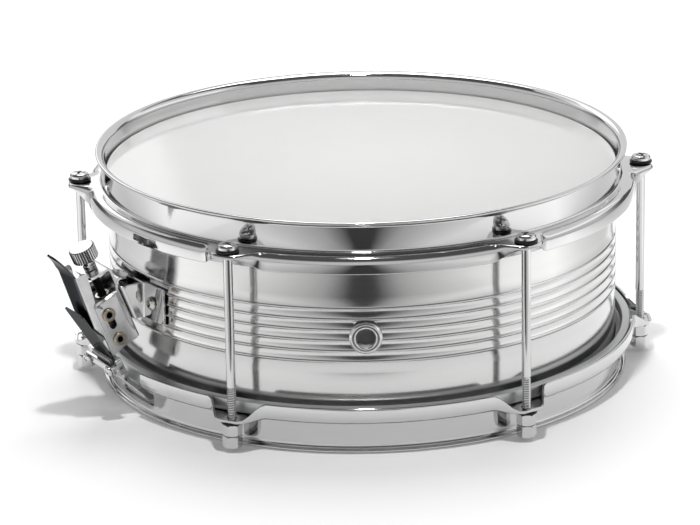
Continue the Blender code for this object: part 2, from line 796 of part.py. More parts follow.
def foot_screws(label, bracket, offset, height, axis, angle):
    """Two screws through the bracket's feet and the shell, each with its nut inside."""
    seat = SHELL_RADIUS + BEAD_HEIGHT + 2 * SEAT + BRACKET_SHEET
    length = BRACKET_SHEET + BEAD_HEIGHT + SHELL_WALL + 4 * SEAT + BRACKET_NUT_HEIGHT + 1.0 * MM
    for i, side in enumerate((-1, 1)):
        turn = side * offset / SHELL_RADIUS
        screw = pan_screw(
            f"{label}_screw_{i + 1}",
            BRACKET_HEAD_DIAMETER,
            BRACKET_HEAD_HEIGHT,
            BRACKET_SCREW_DIAMETER,
            length,
            ZINC,
            axis,
            BRACKET_NUT_HEIGHT,
        )
        screw.location = on_circle(seat, angle + turn, height)
        screw.rotation_euler = (0, math.radians(90), angle + turn)
        hole = rod_cutter(
            f"{label}_foot_hole_{i + 1}",
            BRACKET_SCREW_DIAMETER / 2 + RUNNING,
            -4 * BRACKET_SHEET,
            4 * BRACKET_SHEET,
            axis,
            on_circle(seat, angle + turn, height),
            (0, math.radians(90), angle + turn),
        )
        cut(bracket, hole)


def web_radius_at(height):
    """The strainer bracket's web radius at a height, just behind the leaning frame."""
    behind = -(FRAME_SHEET + SEAT) / math.cos(STRAINER_TILT)
    rise = (height - STRAINER_FOOT_HEIGHT) * math.tan(STRAINER_TILT)
    return STRAINER_RADIUS + rise + behind


def build_strainer_bracket(axis, tilt):
    """The bracket that carries the strainer frame, its screws and the two frame rivets."""
    low = STRAINER_BRACKET_LOW
    high = STRAINER_BRACKET_HIGH
    bracket = hat_bracket(
        "strainer_bracket",
        low,
        high,
        web_radius_at(low),
        web_radius_at(high),
        STRAINER_WEB_WIDTH,
        STRAINER_FOOT_LENGTH,
        axis,
        STRAINER_ANGLE,
    )
    brace = rounded(
        [
            (web_radius_at(high - BRACKET_SHEET), high - BRACKET_SHEET, 0),
            (web_radius_at(BRACE_HEIGHT), BRACE_HEIGHT, BRACE_BEND),
            (SHELL_RADIUS + BRACE_GAP, BRACE_HEIGHT, 0),
            (SHELL_RADIUS + BRACE_GAP, BRACE_HEIGHT - BRACKET_SHEET, 0),
            (
                web_radius_at(BRACE_HEIGHT - BRACKET_SHEET) - BRACKET_SHEET,
                BRACE_HEIGHT - BRACKET_SHEET,
                BRACE_BEND - BRACKET_SHEET,
            ),
            (web_radius_at(high - BRACKET_SHEET) - BRACKET_SHEET, high - BRACKET_SHEET, 0),
        ]
    )
    half = BRACE_WIDTH / 2
    tab = prism("bracket_brace", brace, -half, half, "XZ", None, bracket, (), HELPERS)
    combine(bracket, tab, "UNION")
    foot_screws("bracket", bracket, STRAINER_SCREW_OFFSET, (low + high) / 2, axis, STRAINER_ANGLE)
    grip = FRAME_SHEET + BRACKET_SHEET + SEAT
    for i, height in enumerate(RIVET_HEIGHTS):
        head = RIVET_HEAD_DIAMETER / 2
        shank = RIVET_DIAMETER / 2
        profile = [
            (0, SEAT + RIVET_HEAD),
            (head * 0.8, SEAT + RIVET_HEAD),
            (head, SEAT),
            (shank, SEAT),
            (shank, -grip - SEAT),
            (head, -grip - SEAT),
            (head * 0.8, -grip - SEAT - RIVET_HEAD),
            (0, -grip - SEAT - RIVET_HEAD),
        ]
        rivet = turned(f"frame_rivet_{i + 1}", profile, ZINC, tilt, ROD_STEPS)
        rivet.location = (0, 0, height)
        rivet.rotation_euler = (0, math.radians(90), 0)
        name = f"bracket_rivet_hole_{i + 1}"
        place = (0, 0, height)
        facing = (0, math.radians(90), 0)
        radius = shank + RUNNING
        reach = 3 * grip
        cut(bracket, rod_cutter(name, radius, -reach, reach, tilt, place, facing))


def build_strainer_frame(tilt):
    """A channel cut to its side outline, with a flange on top, slots for the pins and holes."""
    half = FRAME_WIDTH / 2
    inner = half - FRAME_SHEET
    bend = FRAME_BEND
    inner_bend = FRAME_BEND - FRAME_SHEET
    section = rounded(
        [
            (CHEEK_DEPTH, half, 0),
            (-FRAME_SHEET, half, bend),
            (-FRAME_SHEET, -half, bend),
            (CHEEK_DEPTH, -half, 0),
            (CHEEK_DEPTH, -inner, 0),
            (0, -inner, inner_bend),
            (0, inner, inner_bend),
            (CHEEK_DEPTH, inner, 0),
        ]
    )
    frame = prism("strainer_frame", section, 0, FRAME_LENGTH, "XY", CHROME, tilt)
    behind = -2 * FRAME_SHEET
    side = rounded(
        [
            (behind, -FRAME_SHEET, 0),
            (behind, 2 * FRAME_LENGTH, 0),
            (0, 2 * FRAME_LENGTH, 0),
            (0, CHEEK_LENGTH, 0),
            (CHEEK_DEPTH, CHEEK_LENGTH, CHEEK_CORNER),
            (CHEEK_DEPTH, 0, CHEEK_CORNER / 2),
            (0, 0, 0),
            (0, -FRAME_SHEET, 0),
        ]
    )
    outline = prism("frame_side", side, -half * 2, half * 2, "XZ", None, tilt, (), HELPERS)
    combine(frame, outline, "INTERSECT")
    low = FRAME_LENGTH - FRAME_SHEET
    flange_outline = rounded(
        [
            (-FRAME_SHEET * 0.6, half - bend / 2, 0),
            (-FRAME_SHEET * 0.6, -half + bend / 2, 0),
            (FLANGE_REACH, -half + bend / 2, FLANGE_CORNER),
            (FLANGE_REACH, half - bend / 2, FLANGE_CORNER),
        ]
    )
    screw_hole = circle((SCREW_OUTWARD, 0), SCREW_HOLE_RADIUS)
    flange = prism(
        "frame_flange", flange_outline, low, FRAME_LENGTH, "XY", None, tilt, [screw_hole], HELPERS
    )
    combine(frame, flange, "UNION")
    guide = slot(
        PIN_OUTWARD,
        GUIDE_HEIGHT - GUIDE_SLOT_DROP,
        GUIDE_HEIGHT + CARRIAGE_TRAVEL,
        PIN_HOLE_RADIUS,
    )
    pivot = slot(
        PIN_OUTWARD,
        PIVOT_HEIGHT - CARRIAGE_TRAVEL,
        PIVOT_HEIGHT + CARRIAGE_TRAVEL,
        PIN_HOLE_RADIUS,
    )
    for label, outline in (("guide", guide), ("pivot", pivot)):
        name = f"{label}_slots"
        tool = prism(name, outline, -half * 2, half * 2, "XZ", None, tilt, (), HELPERS)
        cut(frame, tool)
    for i, height in enumerate(RIVET_HEIGHTS):
        facing = (0, math.radians(90), 0)
        name = f"frame_rivet_hole_{i + 1}"
        radius = RIVET_DIAMETER / 2 + RUNNING
        reach = 3 * FRAME_SHEET
        cut(frame, rod_cutter(name, radius, -reach, reach, tilt, (0, 0, height), facing))


def build_carriage(tilt):
    """The block inside the frame, with its threaded hole and the holes for both pins."""
    front = BLOCK_BACK + BLOCK_DEPTH
    top = BLOCK_FOOT + BLOCK_LENGTH
    corner = 2.0 * MM
    side = rounded(
        [
            (BLOCK_BACK, BLOCK_FOOT, 0),
            (BLOCK_BACK, top, 0),
            (front, top, corner),
            (front, BLOCK_FOOT, corner),
        ]
    )
    radius = PIN_DIAMETER / 2 + RUNNING
    holes = [circle((PIN_OUTWARD, height), radius) for height in (PIVOT_HEIGHT, GUIDE_HEIGHT)]
    half = BLOCK_HALF_WIDTH
    block = prism("strainer_carriage", side, -half, half, "XZ", BLACKENED, tilt, holes)
    tool = rod_cutter(
        "carriage_thread",
        SCREW_HOLE_RADIUS,
        -BLOCK_LENGTH,
        2 * BLOCK_LENGTH,
        tilt,
        (SCREW_OUTWARD, 0, 0),
    )
    cut(block, tool)


def build_pins(tilt):
    """The guide pin and the lever's pivot pin, each with a flat head at both ends."""
    shank = PIN_DIAMETER / 2
    head = PIN_HEAD_DIAMETER / 2
    seat = FRAME_WIDTH / 2 + SEAT
    top = seat + PIN_HEAD
    profile = [
        (0, top),
        (head * 0.8, top),
        (head, top - PIN_HEAD * 0.5),
        (head, seat),
        (shank, seat),
        (shank, -seat),
        (head, -seat),
        (head, -top + PIN_HEAD * 0.5),
        (head * 0.8, -top),
        (0, -top),
    ]
    for name, height in (("guide_pin", GUIDE_HEIGHT), ("pivot_pin", PIVOT_HEIGHT)):
        pin = turned(name, profile, ZINC, tilt, ROD_STEPS)
        pin.location = (PIN_OUTWARD, 0, height)
        pin.rotation_euler = (math.radians(90), 0, 0)


def build_knob(tilt):
    """The knurled knob with its collar and screw in one piece, and the clip that holds it."""
    seat = FRAME_LENGTH + SEAT
    knob_low = seat + COLLAR_LENGTH
    top = knob_low + KNOB_HEIGHT
    knob = KNOB_DIAMETER / 2
    collar = COLLAR_DIAMETER / 2
    screw = SCREW_DIAMETER / 2
    profile = [
        (0, top),
        (knob - KNOB_CHAMFER, top),
        (knob, top - KNOB_CHAMFER),
        (knob, knob_low + KNOB_CHAMFER),
        (knob - KNOB_CHAMFER, knob_low),
        (collar, knob_low),
        (collar, seat),
        (screw, seat),
        (screw, SCREW_FOOT),
        (0, SCREW_FOOT),
    ]
    piece = turned("adjusting_knob", profile, CHROME, tilt, 2 * ROD_STEPS)
    piece.location = (SCREW_OUTWARD, 0, 0)
    clip_top = FRAME_LENGTH - FRAME_SHEET - SEAT
    ring = [
        (SCREW_HOLE_RADIUS, clip_top),
        (CLIP_DIAMETER / 2, clip_top),
        (CLIP_DIAMETER / 2, clip_top - CLIP_THICKNESS),
        (SCREW_HOLE_RADIUS, clip_top - CLIP_THICKNESS),
    ]
    clip = turned("knob_clip", ring, ZINC, tilt, ROD_STEPS, closed=True)
    clip.location = (SCREW_OUTWARD, 0, 0)


def lever_cheek_outline():
    """One cheek of the lever from the side: a boss at the pivot, a strip down and the web's wall."""
    front_low = (WEB_FOOT[0] - LEVER_SHEET / 2, WEB_FOOT[1])
    front_top = (WEB_TOP[0] - LEVER_SHEET / 2, WEB_TOP[1])
    return rounded(
        [
            (*front_top, 0),
            (LEVER_BACK_TOP, WEB_TOP[1], 2.0 * MM),
            (LEVER_BACK_LOW, CHEEK_LENGTH, 0),
            (LEVER_BACK_LOW, PIVOT_HEIGHT + 1.6 * LEVER_BOSS, 3.0 * MM),
            (PIN_OUTWARD - LEVER_BOSS, PIVOT_HEIGHT + LEVER_BOSS * 0.9, 3.0 * MM),
            (PIN_OUTWARD - LEVER_BOSS, PIVOT_HEIGHT - LEVER_BOSS * 0.9, 3.0 * MM),
            (CLAMP_BACK - 2.5 * MM, STRIP_FOOT, 0),
            (STRIP_FRONT, STRIP_FOOT, 0),
            (STRIP_FRONT, WEB_FOOT[1] - 7.0 * MM, 0),
            (*front_low, 0),
        ]
    )


def lever_front(height):
    """How far out the front of the web and the tongue is at a height."""
    run = (height - WEB_FOOT[1]) / (WEB_TOP[1] - WEB_FOOT[1])
    if run <= 1:
        return WEB_FOOT[0] + (WEB_TOP[0] - WEB_FOOT[0]) * run
    rise = (height - WEB_TOP[1]) / TONGUE_LENGTH
    return WEB_TOP[0] + TONGUE_FLARE * (0.35 * rise + 0.65 * rise * rise)


def lever_half_width(height):
    """Half the width of the web, and of the tongue that narrows to a round tip above it."""
    rise = (height - WEB_TOP[1]) / TONGUE_LENGTH
    if rise <= 0:
        return LEVER_HALF_WIDTH
    shoulder = LEVER_HALF_WIDTH - (LEVER_HALF_WIDTH - TONGUE_TIP * 1.35) * smooth_step(rise, 0, 0.8)
    tip_share = 1 - TONGUE_TIP / TONGUE_LENGTH
    if rise <= tip_share:
        return shoulder
    round_off = (rise - tip_share) / (1 - tip_share)
    return shoulder * math.sqrt(max(1 - round_off * round_off, 0.02))


def build_lever(tilt):
    """The throw-off lever: two cheeks on the pivot, the web between them and the finger tongue."""
    work = bmesh.new()
    rings = []
    heights = [WEB_FOOT[1], WEB_TOP[1]]
    heights += [WEB_TOP[1] + TONGUE_LENGTH * share for share in (0.2, 0.4, 0.6, 0.75, 0.88, 0.96, 1)]
    for height in heights:
        front = lever_front(height)
        side = lever_half_width(height)
        back = front - LEVER_SHEET
        corners = ((front, -side), (front, side), (back, side), (back, -side))
        rings.append([work.verts.new((u, v, height)) for u, v in corners])
    for ring, following in zip(rings, rings[1:]):
        for i in range(4):
            j = (i + 1) % 4
            work.faces.new((ring[i], ring[j], following[j], following[i]))
    work.faces.new(rings[0])
    work.faces.new(rings[-1])
    bmesh.ops.recalc_face_normals(work, faces=work.faces)
    mesh = bpy.data.meshes.new("strainer_lever")
    work.to_mesh(mesh)
    work.free()
    shade(mesh)
    lever = add_object("strainer_lever", mesh, CHROME, tilt)
    hole = circle((PIN_OUTWARD, PIVOT_HEIGHT), PIN_HOLE_RADIUS)
    for label, side in (("left", -1), ("right", 1)):
        near = side * (LEVER_HALF_WIDTH - LEVER_SHEET)
        far = side * LEVER_HALF_WIDTH
        low, high = sorted((near, far))
        name = f"lever_cheek_{label}"
        outline = lever_cheek_outline()
        cheek = prism(name, outline, low, high, "XZ", None, tilt, [hole], HELPERS)
        combine(lever, cheek, "UNION")


def build_release_plate(tilt):
    """The plate that leans out in front of the web, from the clamp to its free top edge."""
    rise = PLATE_TOP - STRIP_FOOT
    run = PLATE_TOP_OUTWARD - PLATE_FOOT_OUTWARD
    lean = math.atan2(run, rise)
    length = math.hypot(rise, run)
    half = PLATE_HALF_WIDTH
    outline = rounded(
        [
            (half, 0, 0),
            (half, length, PLATE_CORNER),
            (-half, length, PLATE_CORNER),
            (-half, 0, 0),
        ]
    )
    plate = prism("release_plate", outline, -LEVER_SHEET, 0, "YZ", CHROME, tilt)
    plate.location = (PLATE_FOOT_OUTWARD, 0, STRIP_FOOT)
    plate.rotation_euler = (0, lean, 0)


def clamp_bar(name, parent, low, height, outward, spacing, width):
    """A clamp bar with a bowed front and two screw holes, standing outward of the strap."""
    half = width / 2
    outline = rounded(
        [
            (half, low, 1.0 * MM),
            (half, low + height, 1.0 * MM),
            (-half, low + height, 1.0 * MM),
            (-half, low, 1.0 * MM),
        ]
    )
    radius = CLAMP_SCREW_DIAMETER / 2 + RUNNING
    holes = [circle((side * spacing / 2, low + height / 2), radius) for side in (-1, 1)]
    far = outward + CLAMP_BAR_DEPTH
    return prism(name, outline, outward, far, "YZ", CHROME, parent, holes)


def clamp_screws(label, parent, height, seat, spacing, length):
    """The two pan-head screws of a clamp, heads outward."""
    for i, side in enumerate((-1, 1)):
        screw = pan_screw(
            f"{label}_clamp_screw_{i + 1}",
            CLAMP_HEAD_DIAMETER,
            CLAMP_HEAD_HEIGHT,
            CLAMP_SCREW_DIAMETER,
            length,
            CHROME,
            parent,
        )
        screw.location = (seat, side * spacing / 2, height)
        screw.rotation_euler = (0, math.radians(90), 0)


def build_clamp(tilt):
    """The strainer's clamp: a block under the release plate, a bar and two screws."""
    top = STRIP_FOOT - SEAT
    low = top - CLAMP_HEIGHT
    front = CLAMP_BACK + CLAMP_DEPTH
    half = CLAMP_WIDTH / 2
    middle = (top + low) / 2
    outline = rounded(
        [
            (half, low, 1.5 * MM),
            (half, top, 1.5 * MM),
            (-half, top, 1.5 * MM),
            (-half, low, 1.5 * MM),
        ]
    )
    radius = CLAMP_SCREW_DIAMETER / 2 + RUNNING
    spacing = CLAMP_SCREW_SPACING
    holes = [circle((side * spacing / 2, middle), radius) for side in (-1, 1)]
    prism("clamp_block", outline, CLAMP_BACK, front, "YZ", CHROME, tilt, holes)
    bar_back = front + 2 * SEAT + STRAP_THICKNESS
    bar_low = middle - CLAMP_BAR_HEIGHT / 2
    width = CLAMP_SCREW_SPACING + CLAMP_HEAD_DIAMETER
    clamp_bar("clamp_bar", tilt, bar_low, CLAMP_BAR_HEIGHT, bar_back, spacing, width)
    seat = bar_back + CLAMP_BAR_DEPTH + SEAT
    clamp_screws("lever", tilt, middle, seat, spacing, seat - CLAMP_BACK - 0.5 * MM)


def build_butt(axis):
    """The butt end: a stood-off bracket whose web is the fixed jaw, a bar and two screws."""
    web = SHELL_RADIUS + BUTT_STAND_OFF
    bracket = hat_bracket(
        "butt_bracket",
        BUTT_LOW,
        BUTT_HIGH,
        web,
        web,
        BUTT_WEB_WIDTH,
        BUTT_FOOT_LENGTH,
        axis,
        0,
    )
    foot_screws("butt", bracket, BUTT_SCREW_OFFSET, (BUTT_LOW + BUTT_HIGH) / 2, axis, 0)
    spacing = CLAMP_SCREW_SPACING
    bar_back = web + 2 * SEAT + STRAP_THICKNESS
    bar_low = BUTT_CLAMP_HEIGHT - CLAMP_BAR_HEIGHT / 2
    width = spacing + CLAMP_HEAD_DIAMETER - 1.5 * MM
    clamp_bar("butt_clamp_bar", axis, bar_low, CLAMP_BAR_HEIGHT, bar_back, spacing, width)
    seat = bar_back + CLAMP_BAR_DEPTH + SEAT
    length = seat - web + BRACKET_SHEET + 1.5 * MM
    clamp_screws("butt", axis, BUTT_CLAMP_HEIGHT, seat, spacing, length)
    for i, side in enumerate((-1, 1)):
        place = (web, side * spacing / 2, BUTT_CLAMP_HEIGHT)
        radius = CLAMP_SCREW_DIAMETER / 2 + RUNNING
        name = f"butt_web_hole_{i + 1}"
        reach = 3 * BRACKET_SHEET
        facing = (0, math.radians(90), 0)
        cut(bracket, rod_cutter(name, radius, -reach, reach, axis, place, facing))


def build_wires(axis):
    """The snare wires: strands across the lower head, soldered to a plate at each end."""
    half_width = WIRE_PITCH * (WIRE_COUNT - 1) / 2 + WIRE_DIAMETER / 2 + END_PLATE_MARGIN
    half_span = WIRE_SPAN / 2
    reach = half_span + END_PLATE_LENGTH
    bite = 3.0 * MM
    top = END_PLATE_TOP
    low = top - END_PLATE_THICKNESS
    plates = []
    for label, side in (("near", -1), ("far", 1)):
        near, far = sorted((side * (half_span - bite), side * reach))
        outline = rounded(
            [
                (far, half_width, 2.0 * MM),
                (near, half_width, 2.0 * MM),
                (near, -half_width, 2.0 * MM),
                (far, -half_width, 2.0 * MM),
            ]
        )
        collection = PARTS if side < 0 else HELPERS
        name = "snare_wires" if side < 0 else "far_end_plate"
        plates.append(prism(name, outline, low, top, "XY", ZINC, axis, (), collection))
    for i in range(WIRE_COUNT):
        offset = (i - (WIRE_COUNT - 1) / 2) * WIRE_PITCH
        strand = rod_cutter(
            f"strand_{i + 1}",
            WIRE_DIAMETER / 2,
            -half_span,
            half_span,
            axis,
            (0, offset, WIRE_HEIGHT),
            (0, math.radians(90), 0),
            6,
        )
        combine(plates[0], strand, "UNION")
    combine(plates[0], plates[1], "UNION")


def ribbon(name, path, parent, width, thickness):
    """A flat strap that follows a path of (x, z) points and is wide along Y."""
    left = []
    right = []
    for i, point in enumerate(path):
        before = Vector(path[max(i - 1, 0)])
        after = Vector(path[min(i + 1, len(path) - 1)])
        along = (after - before).normalized()
        side = Vector((-along.y, along.x)) * thickness / 2
        left.append(tuple(Vector(point) + side))
        right.append(tuple(Vector(point) - side))
    outline = left + right[::-1]
    return prism(name, outline, -width / 2, width / 2, "XZ", STRAP_FILM, parent)


def tilted(outward, height):
    """A place in the strainer's frame as radius and height in the drum's frame."""
    lean = STRAINER_TILT
    radius = STRAINER_RADIUS + outward * math.cos(lean) + height * math.sin(lean)
    return radius, STRAINER_FOOT_HEIGHT + height * math.cos(lean) - outward * math.sin(lean)


def build_straps(axis):
    """The straps from the wires' end plates, through the gates, up to the two clamps."""
    inner = WIRE_SPAN / 2 + 4.0 * MM
    gate = WALL_IN - 0.4 * MM
    jaw = CLAMP_BACK + CLAMP_DEPTH + SEAT + STRAP_THICKNESS / 2
    top = tilted(jaw, STRIP_FOOT - 1.5 * MM)
    below = tilted(jaw, STRIP_FOOT - SEAT - CLAMP_HEIGHT - 0.5 * MM)
    path = [
        (-top[0], top[1]),
        (-below[0], below[1]),
        (-below[0] + 2.0 * MM, below[1] - 3.2 * MM),
        (-gate - 3.6 * MM, STRAP_LEVEL + 4.4 * MM),
        (-gate - 0.6 * MM, STRAP_LEVEL + 1.0 * MM),
        (-gate + 2.2 * MM, STRAP_LEVEL),
        (-inner, STRAP_LEVEL),
    ]
    ribbon("strainer_strap", path, axis, STRAP_WIDTH, STRAP_THICKNESS)
    jaw = SHELL_RADIUS + BUTT_STAND_OFF + SEAT + STRAP_THICKNESS / 2
    path = [
        (jaw, BUTT_HIGH - 2.0 * MM),
        (jaw, -LEDGE_HEIGHT + 1.0 * MM),
        (jaw - 0.8 * MM, -LEDGE_HEIGHT - 1.4 * MM),
        (gate + 3.2 * MM, STRAP_LEVEL + 4.4 * MM),
        (gate + 0.6 * MM, STRAP_LEVEL + 1.0 * MM),
        (gate - 2.2 * MM, STRAP_LEVEL),
        (inner, STRAP_LEVEL),
    ]
    ribbon("butt_strap", path, axis, STRAP_WIDTH, STRAP_THICKNESS)


def centre_over_origin(axis):
    """Moves the drum along X so that the middle of its whole box stands over the origin."""
    graph = bpy.context.evaluated_depsgraph_get()
    low = math.inf
    high = -math.inf
    for obj in PARTS.objects:
        if obj.type == "EMPTY":
            continue
        shown = obj.evaluated_get(graph)
        for vertex in shown.to_mesh().vertices:
            x = (shown.matrix_world @ vertex.co).x
            low = min(low, x)
            high = max(high, x)
        shown.to_mesh_clear()
    axis.location.x -= (low + high) / 2
    print(f"drum axis at x = {axis.location.x:.6f} m, strainer tilt about the foot")


def build():
    """Builds every piece of the drum."""
    axis = make_empty("drum_axis", None, (0, 0, RIM_HEIGHT))
    foot = on_circle(STRAINER_RADIUS, STRAINER_ANGLE, STRAINER_FOOT_HEIGHT)
    tilt = make_empty("strainer_tilt", axis, foot, Euler((0, STRAINER_TILT, STRAINER_ANGLE)))
    build_shell(axis)
    build_heads(axis)
    build_hoops(axis)
    build_rods(axis)
    build_vent(axis)
    build_strainer_bracket(axis, tilt)
    build_strainer_frame(tilt)
    build_carriage(tilt)
    build_pins(tilt)
    build_knob(tilt)
    build_lever(tilt)
    build_release_plate(tilt)
    build_clamp(tilt)
    build_butt(axis)
    build_wires(axis)
    build_straps(axis)
    centre_over_origin(axis)
    for label, height in (("pivot", PIVOT_HEIGHT), ("screw", 0.0)):
        outward = PIN_OUTWARD if label == "pivot" else SCREW_OUTWARD
        radius, level = tilted(outward, height)
        x = axis.location.x - radius
        print(f"{label} axis through x = {x:.6f}, z = {level + RIM_HEIGHT:.6f} m")


build()
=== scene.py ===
import math

import bmesh
import bpy
from mathutils import Euler, Matrix, Vector


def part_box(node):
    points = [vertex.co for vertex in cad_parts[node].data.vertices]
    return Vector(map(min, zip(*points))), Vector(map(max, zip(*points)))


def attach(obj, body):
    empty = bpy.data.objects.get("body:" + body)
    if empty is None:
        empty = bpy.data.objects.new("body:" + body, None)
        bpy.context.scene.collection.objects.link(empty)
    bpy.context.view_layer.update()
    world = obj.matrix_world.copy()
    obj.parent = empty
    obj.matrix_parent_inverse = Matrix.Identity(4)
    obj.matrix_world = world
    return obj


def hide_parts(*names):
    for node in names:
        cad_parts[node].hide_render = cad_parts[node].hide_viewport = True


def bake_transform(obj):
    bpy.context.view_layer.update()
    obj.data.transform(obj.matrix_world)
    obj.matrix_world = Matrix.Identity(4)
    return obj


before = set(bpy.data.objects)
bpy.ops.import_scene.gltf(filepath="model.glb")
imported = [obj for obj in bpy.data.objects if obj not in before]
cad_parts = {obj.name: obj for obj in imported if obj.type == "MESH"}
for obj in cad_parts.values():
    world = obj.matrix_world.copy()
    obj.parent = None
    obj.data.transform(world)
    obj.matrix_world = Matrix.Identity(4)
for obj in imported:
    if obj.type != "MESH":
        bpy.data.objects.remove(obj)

MM = 0.001
TURN = math.tau
QUARTER = math.pi / 2


def note_bounds():
    """Brings the scene's placements up to date."""
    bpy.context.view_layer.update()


note_bounds()


# Sizes read off the frame, in millimetres


def node_span(name):
    """The size of a CAD node's box in millimetres."""
    low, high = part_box(name)
    return (high - low) / MM


def node_middle(name):
    """The middle of a CAD node's box in metres."""
    low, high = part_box(name)
    return (low + high) / 2


DRUM_MIDDLE = node_middle("shell")


def node_levels(name):
    """The lowest and highest level of a CAD node over the drum's middle, in millimetres."""
    return [(corner.z - DRUM_MIDDLE.z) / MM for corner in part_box(name)]


BEAD_RADIUS = node_span("shell").y / 2
HALF_DEPTH = node_span("shell").z / 2
COLLAR_FOOT, FILM_TOP = node_levels("batter_head")
FLESH_LOW, FLESH_TOP = node_levels("batter_flesh_hoop")
RIM_HEIGHT = node_levels("top_hoop")[1]
WASHER_LOW, WASHER_TOP = node_levels("rod_washer_1")
ROD_LOW, ROD_TOP = node_levels("tension_rod_1")
NUT_LOW, NUT_TOP = node_levels("rod_nut_1")
LOCK_LOW, LOCK_TOP = node_levels("lock_nut_1")
WIRES_LOW = node_levels("snare_wires")[0]

# Sheet and section sizes that the boxes don't give, in millimetres
BEADS = 6
BEAD_PITCH = 6.3
BEAD_HALF = 1.2
BEAD_SHOWN = 0.55
SHELL_RADIUS = BEAD_RADIUS - 0.9
SHELL_WALL = 1.2
FLESH_OUT = 160.75
FLESH_WIDTH = 5.2
HOOP_SHEET = 1.8
HOOP_PLAY = 1.45
WALL_IN = SHELL_RADIUS + HOOP_PLAY
WALL_OUT = WALL_IN + HOOP_SHEET
RIM_FLARE = 4.2
RIM_FLAT = 1.0
RIM_RADIUS = WALL_IN + RIM_FLARE + RIM_FLAT
LEDGE_HEIGHT = RIM_HEIGHT - 18.2
LEDGE_UNDER = LEDGE_HEIGHT - HOOP_SHEET
LEDGE_FILLET = 1.6
LIP_BEND = 5.0
LIP_HEIGHT = 10.4
LIP_RADIUS = FLESH_OUT + 0.85 + HOOP_SHEET
RODS = 6
ROD_CIRCLE = 167.8
ROD_RADIUS = 2.65
EAR_RADIUS = ROD_CIRCLE + 6.9
EAR_BEND = 2.2
EAR_FLAT = 8.0
EAR_SPREAD = 19.5
HOOP_TURN = math.radians(2.7)
KNOB_RADIUS = 7.8
KNURL_DEPTH = 0.8
PIN_HEAD = 4.2

# The air left between pieces that lie against each other, in millimetres
CLEAR = 0.3

# Edges that turn by more degrees than this stay crisp
CRISP = 38
CRISP_CUT = 34
CRISP_ROLLED = 60

DRUM = Matrix.Translation(DRUM_MIDDLE)


def on_circle(radius, angle, height=0.0):
    """A point in the drum's frame from its radius, angle and height."""
    return Vector((radius * math.cos(angle), radius * math.sin(angle), height))


def facing_out(point, turn=0.0):
    """A place at a point in metres with its Z axis level and pointing outward at a turn."""
    return Matrix.Translation(point) @ Euler((0, QUARTER, turn)).to_matrix().to_4x4()


def rod_angle(index):
    """The angle of a rod about the drum's axis."""
    return TURN * (index + 0.5) / RODS + HOOP_TURN


def smooth_step(value, low, high):
    """Runs from 0 to 1 between two values without a kink."""
    share = min(max((value - low) / (high - low), 0), 1)
    return share * share * (3 - 2 * share)


# Outlines


def fillet(corners, closed=True, steps=6):
    """Rounds the corners of an outline. Each corner is (x, y, radius)."""
    points = []
    last = len(corners) - 1
    for i, (x, y, radius) in enumerate(corners):
        here = Vector((x, y))
        if radius == 0 or (not closed and i in (0, last)):
            points.append((x, y))
            continue
        before = Vector(corners[i - 1][:2]) - here
        after = Vector(corners[(i + 1) % len(corners)][:2]) - here
        half = before.angle(after) / 2
        reach = radius / math.tan(half)
        inward = (before.normalized() + after.normalized()).normalized()
        centre = here + inward * radius / math.sin(half)
        start = here + before.normalized() * reach - centre
        end = here + after.normalized() * reach - centre
        sweep = math.atan2(start.x * end.y - start.y * end.x, start.dot(end))
        for step in range(steps + 1):
            place = centre + Matrix.Rotation(sweep * step / steps, 2) @ start
            points.append((place.x, place.y))
    return points


def ring_of(centre, radius):
    """A round hole as an outline."""
    x, y = centre
    steps = 24
    turns = [TURN * i / steps for i in range(steps)]
    return [(x + radius * math.cos(turn), y + radius * math.sin(turn)) for turn in turns]


def slot_of(x, low, high, radius):
    """An oblong hole that stands upright, with round ends."""
    steps = 12
    points = []
    for middle, start in ((high, 0), (low, math.pi)):
        for i in range(steps + 1):
            angle = start + math.pi * i / steps
            points.append((x + radius * math.cos(angle), middle + radius * math.sin(angle)))
    return points


def hexagon(across_flats):
    """A hexagon's outline from its size across the flats."""
    corner = across_flats / 2 / math.cos(math.pi / 6)
    return [on_circle(corner, TURN * i / 6)[:2] for i in range(6)]


# Meshes, built in millimetres


def bridge(work, first, second, wrap=True):
    """Faces between two rows of vertices. A row of one vertex closes to a point."""
    count = max(len(first), len(second))
    for i in range(count if wrap else count - 1):
        j = (i + 1) % count
        if len(first) == 1:
            work.faces.new((first[0], second[i], second[j]))
        elif len(second) == 1:
            work.faces.new((first[i], first[j], second[0]))
        else:
            work.faces.new((first[i], first[j], second[j], second[i]))


def as_mesh(work):
    """A bmesh in millimetres as a smooth mesh in metres."""
    mesh = bpy.data.meshes.new("shape")
    work.to_mesh(mesh)
    work.free()
    mesh.transform(Matrix.Scale(MM, 4))
    mesh.shade_smooth()
    return mesh


def finished(work, crisp=CRISP):
    """A bmesh as a mesh whose faces look outward and whose crisp edges show."""
    bmesh.ops.recalc_face_normals(work, faces=work.faces)
    mesh = as_mesh(work)
    mesh.set_sharp_from_angle(angle=math.radians(crisp))
    return mesh


def lathe(profile, steps, closed=False, crisp=CRISP):
    """Turns a profile of (radius, height) points about Z."""
    work = bmesh.new()
    rows = []
    for radius, height in profile:
        if radius < 1e-6:
            rows.append([work.verts.new((0, 0, height))])
            continue
        turns = [TURN * i / steps for i in range(steps)]
        rows.append([work.verts.new(on_circle(radius, turn, height)) for turn in turns])
    for first, second in zip(rows, rows[1:]):
        bridge(work, first, second)
    if closed:
        bridge(work, rows[-1], rows[0])
    return finished(work, crisp)


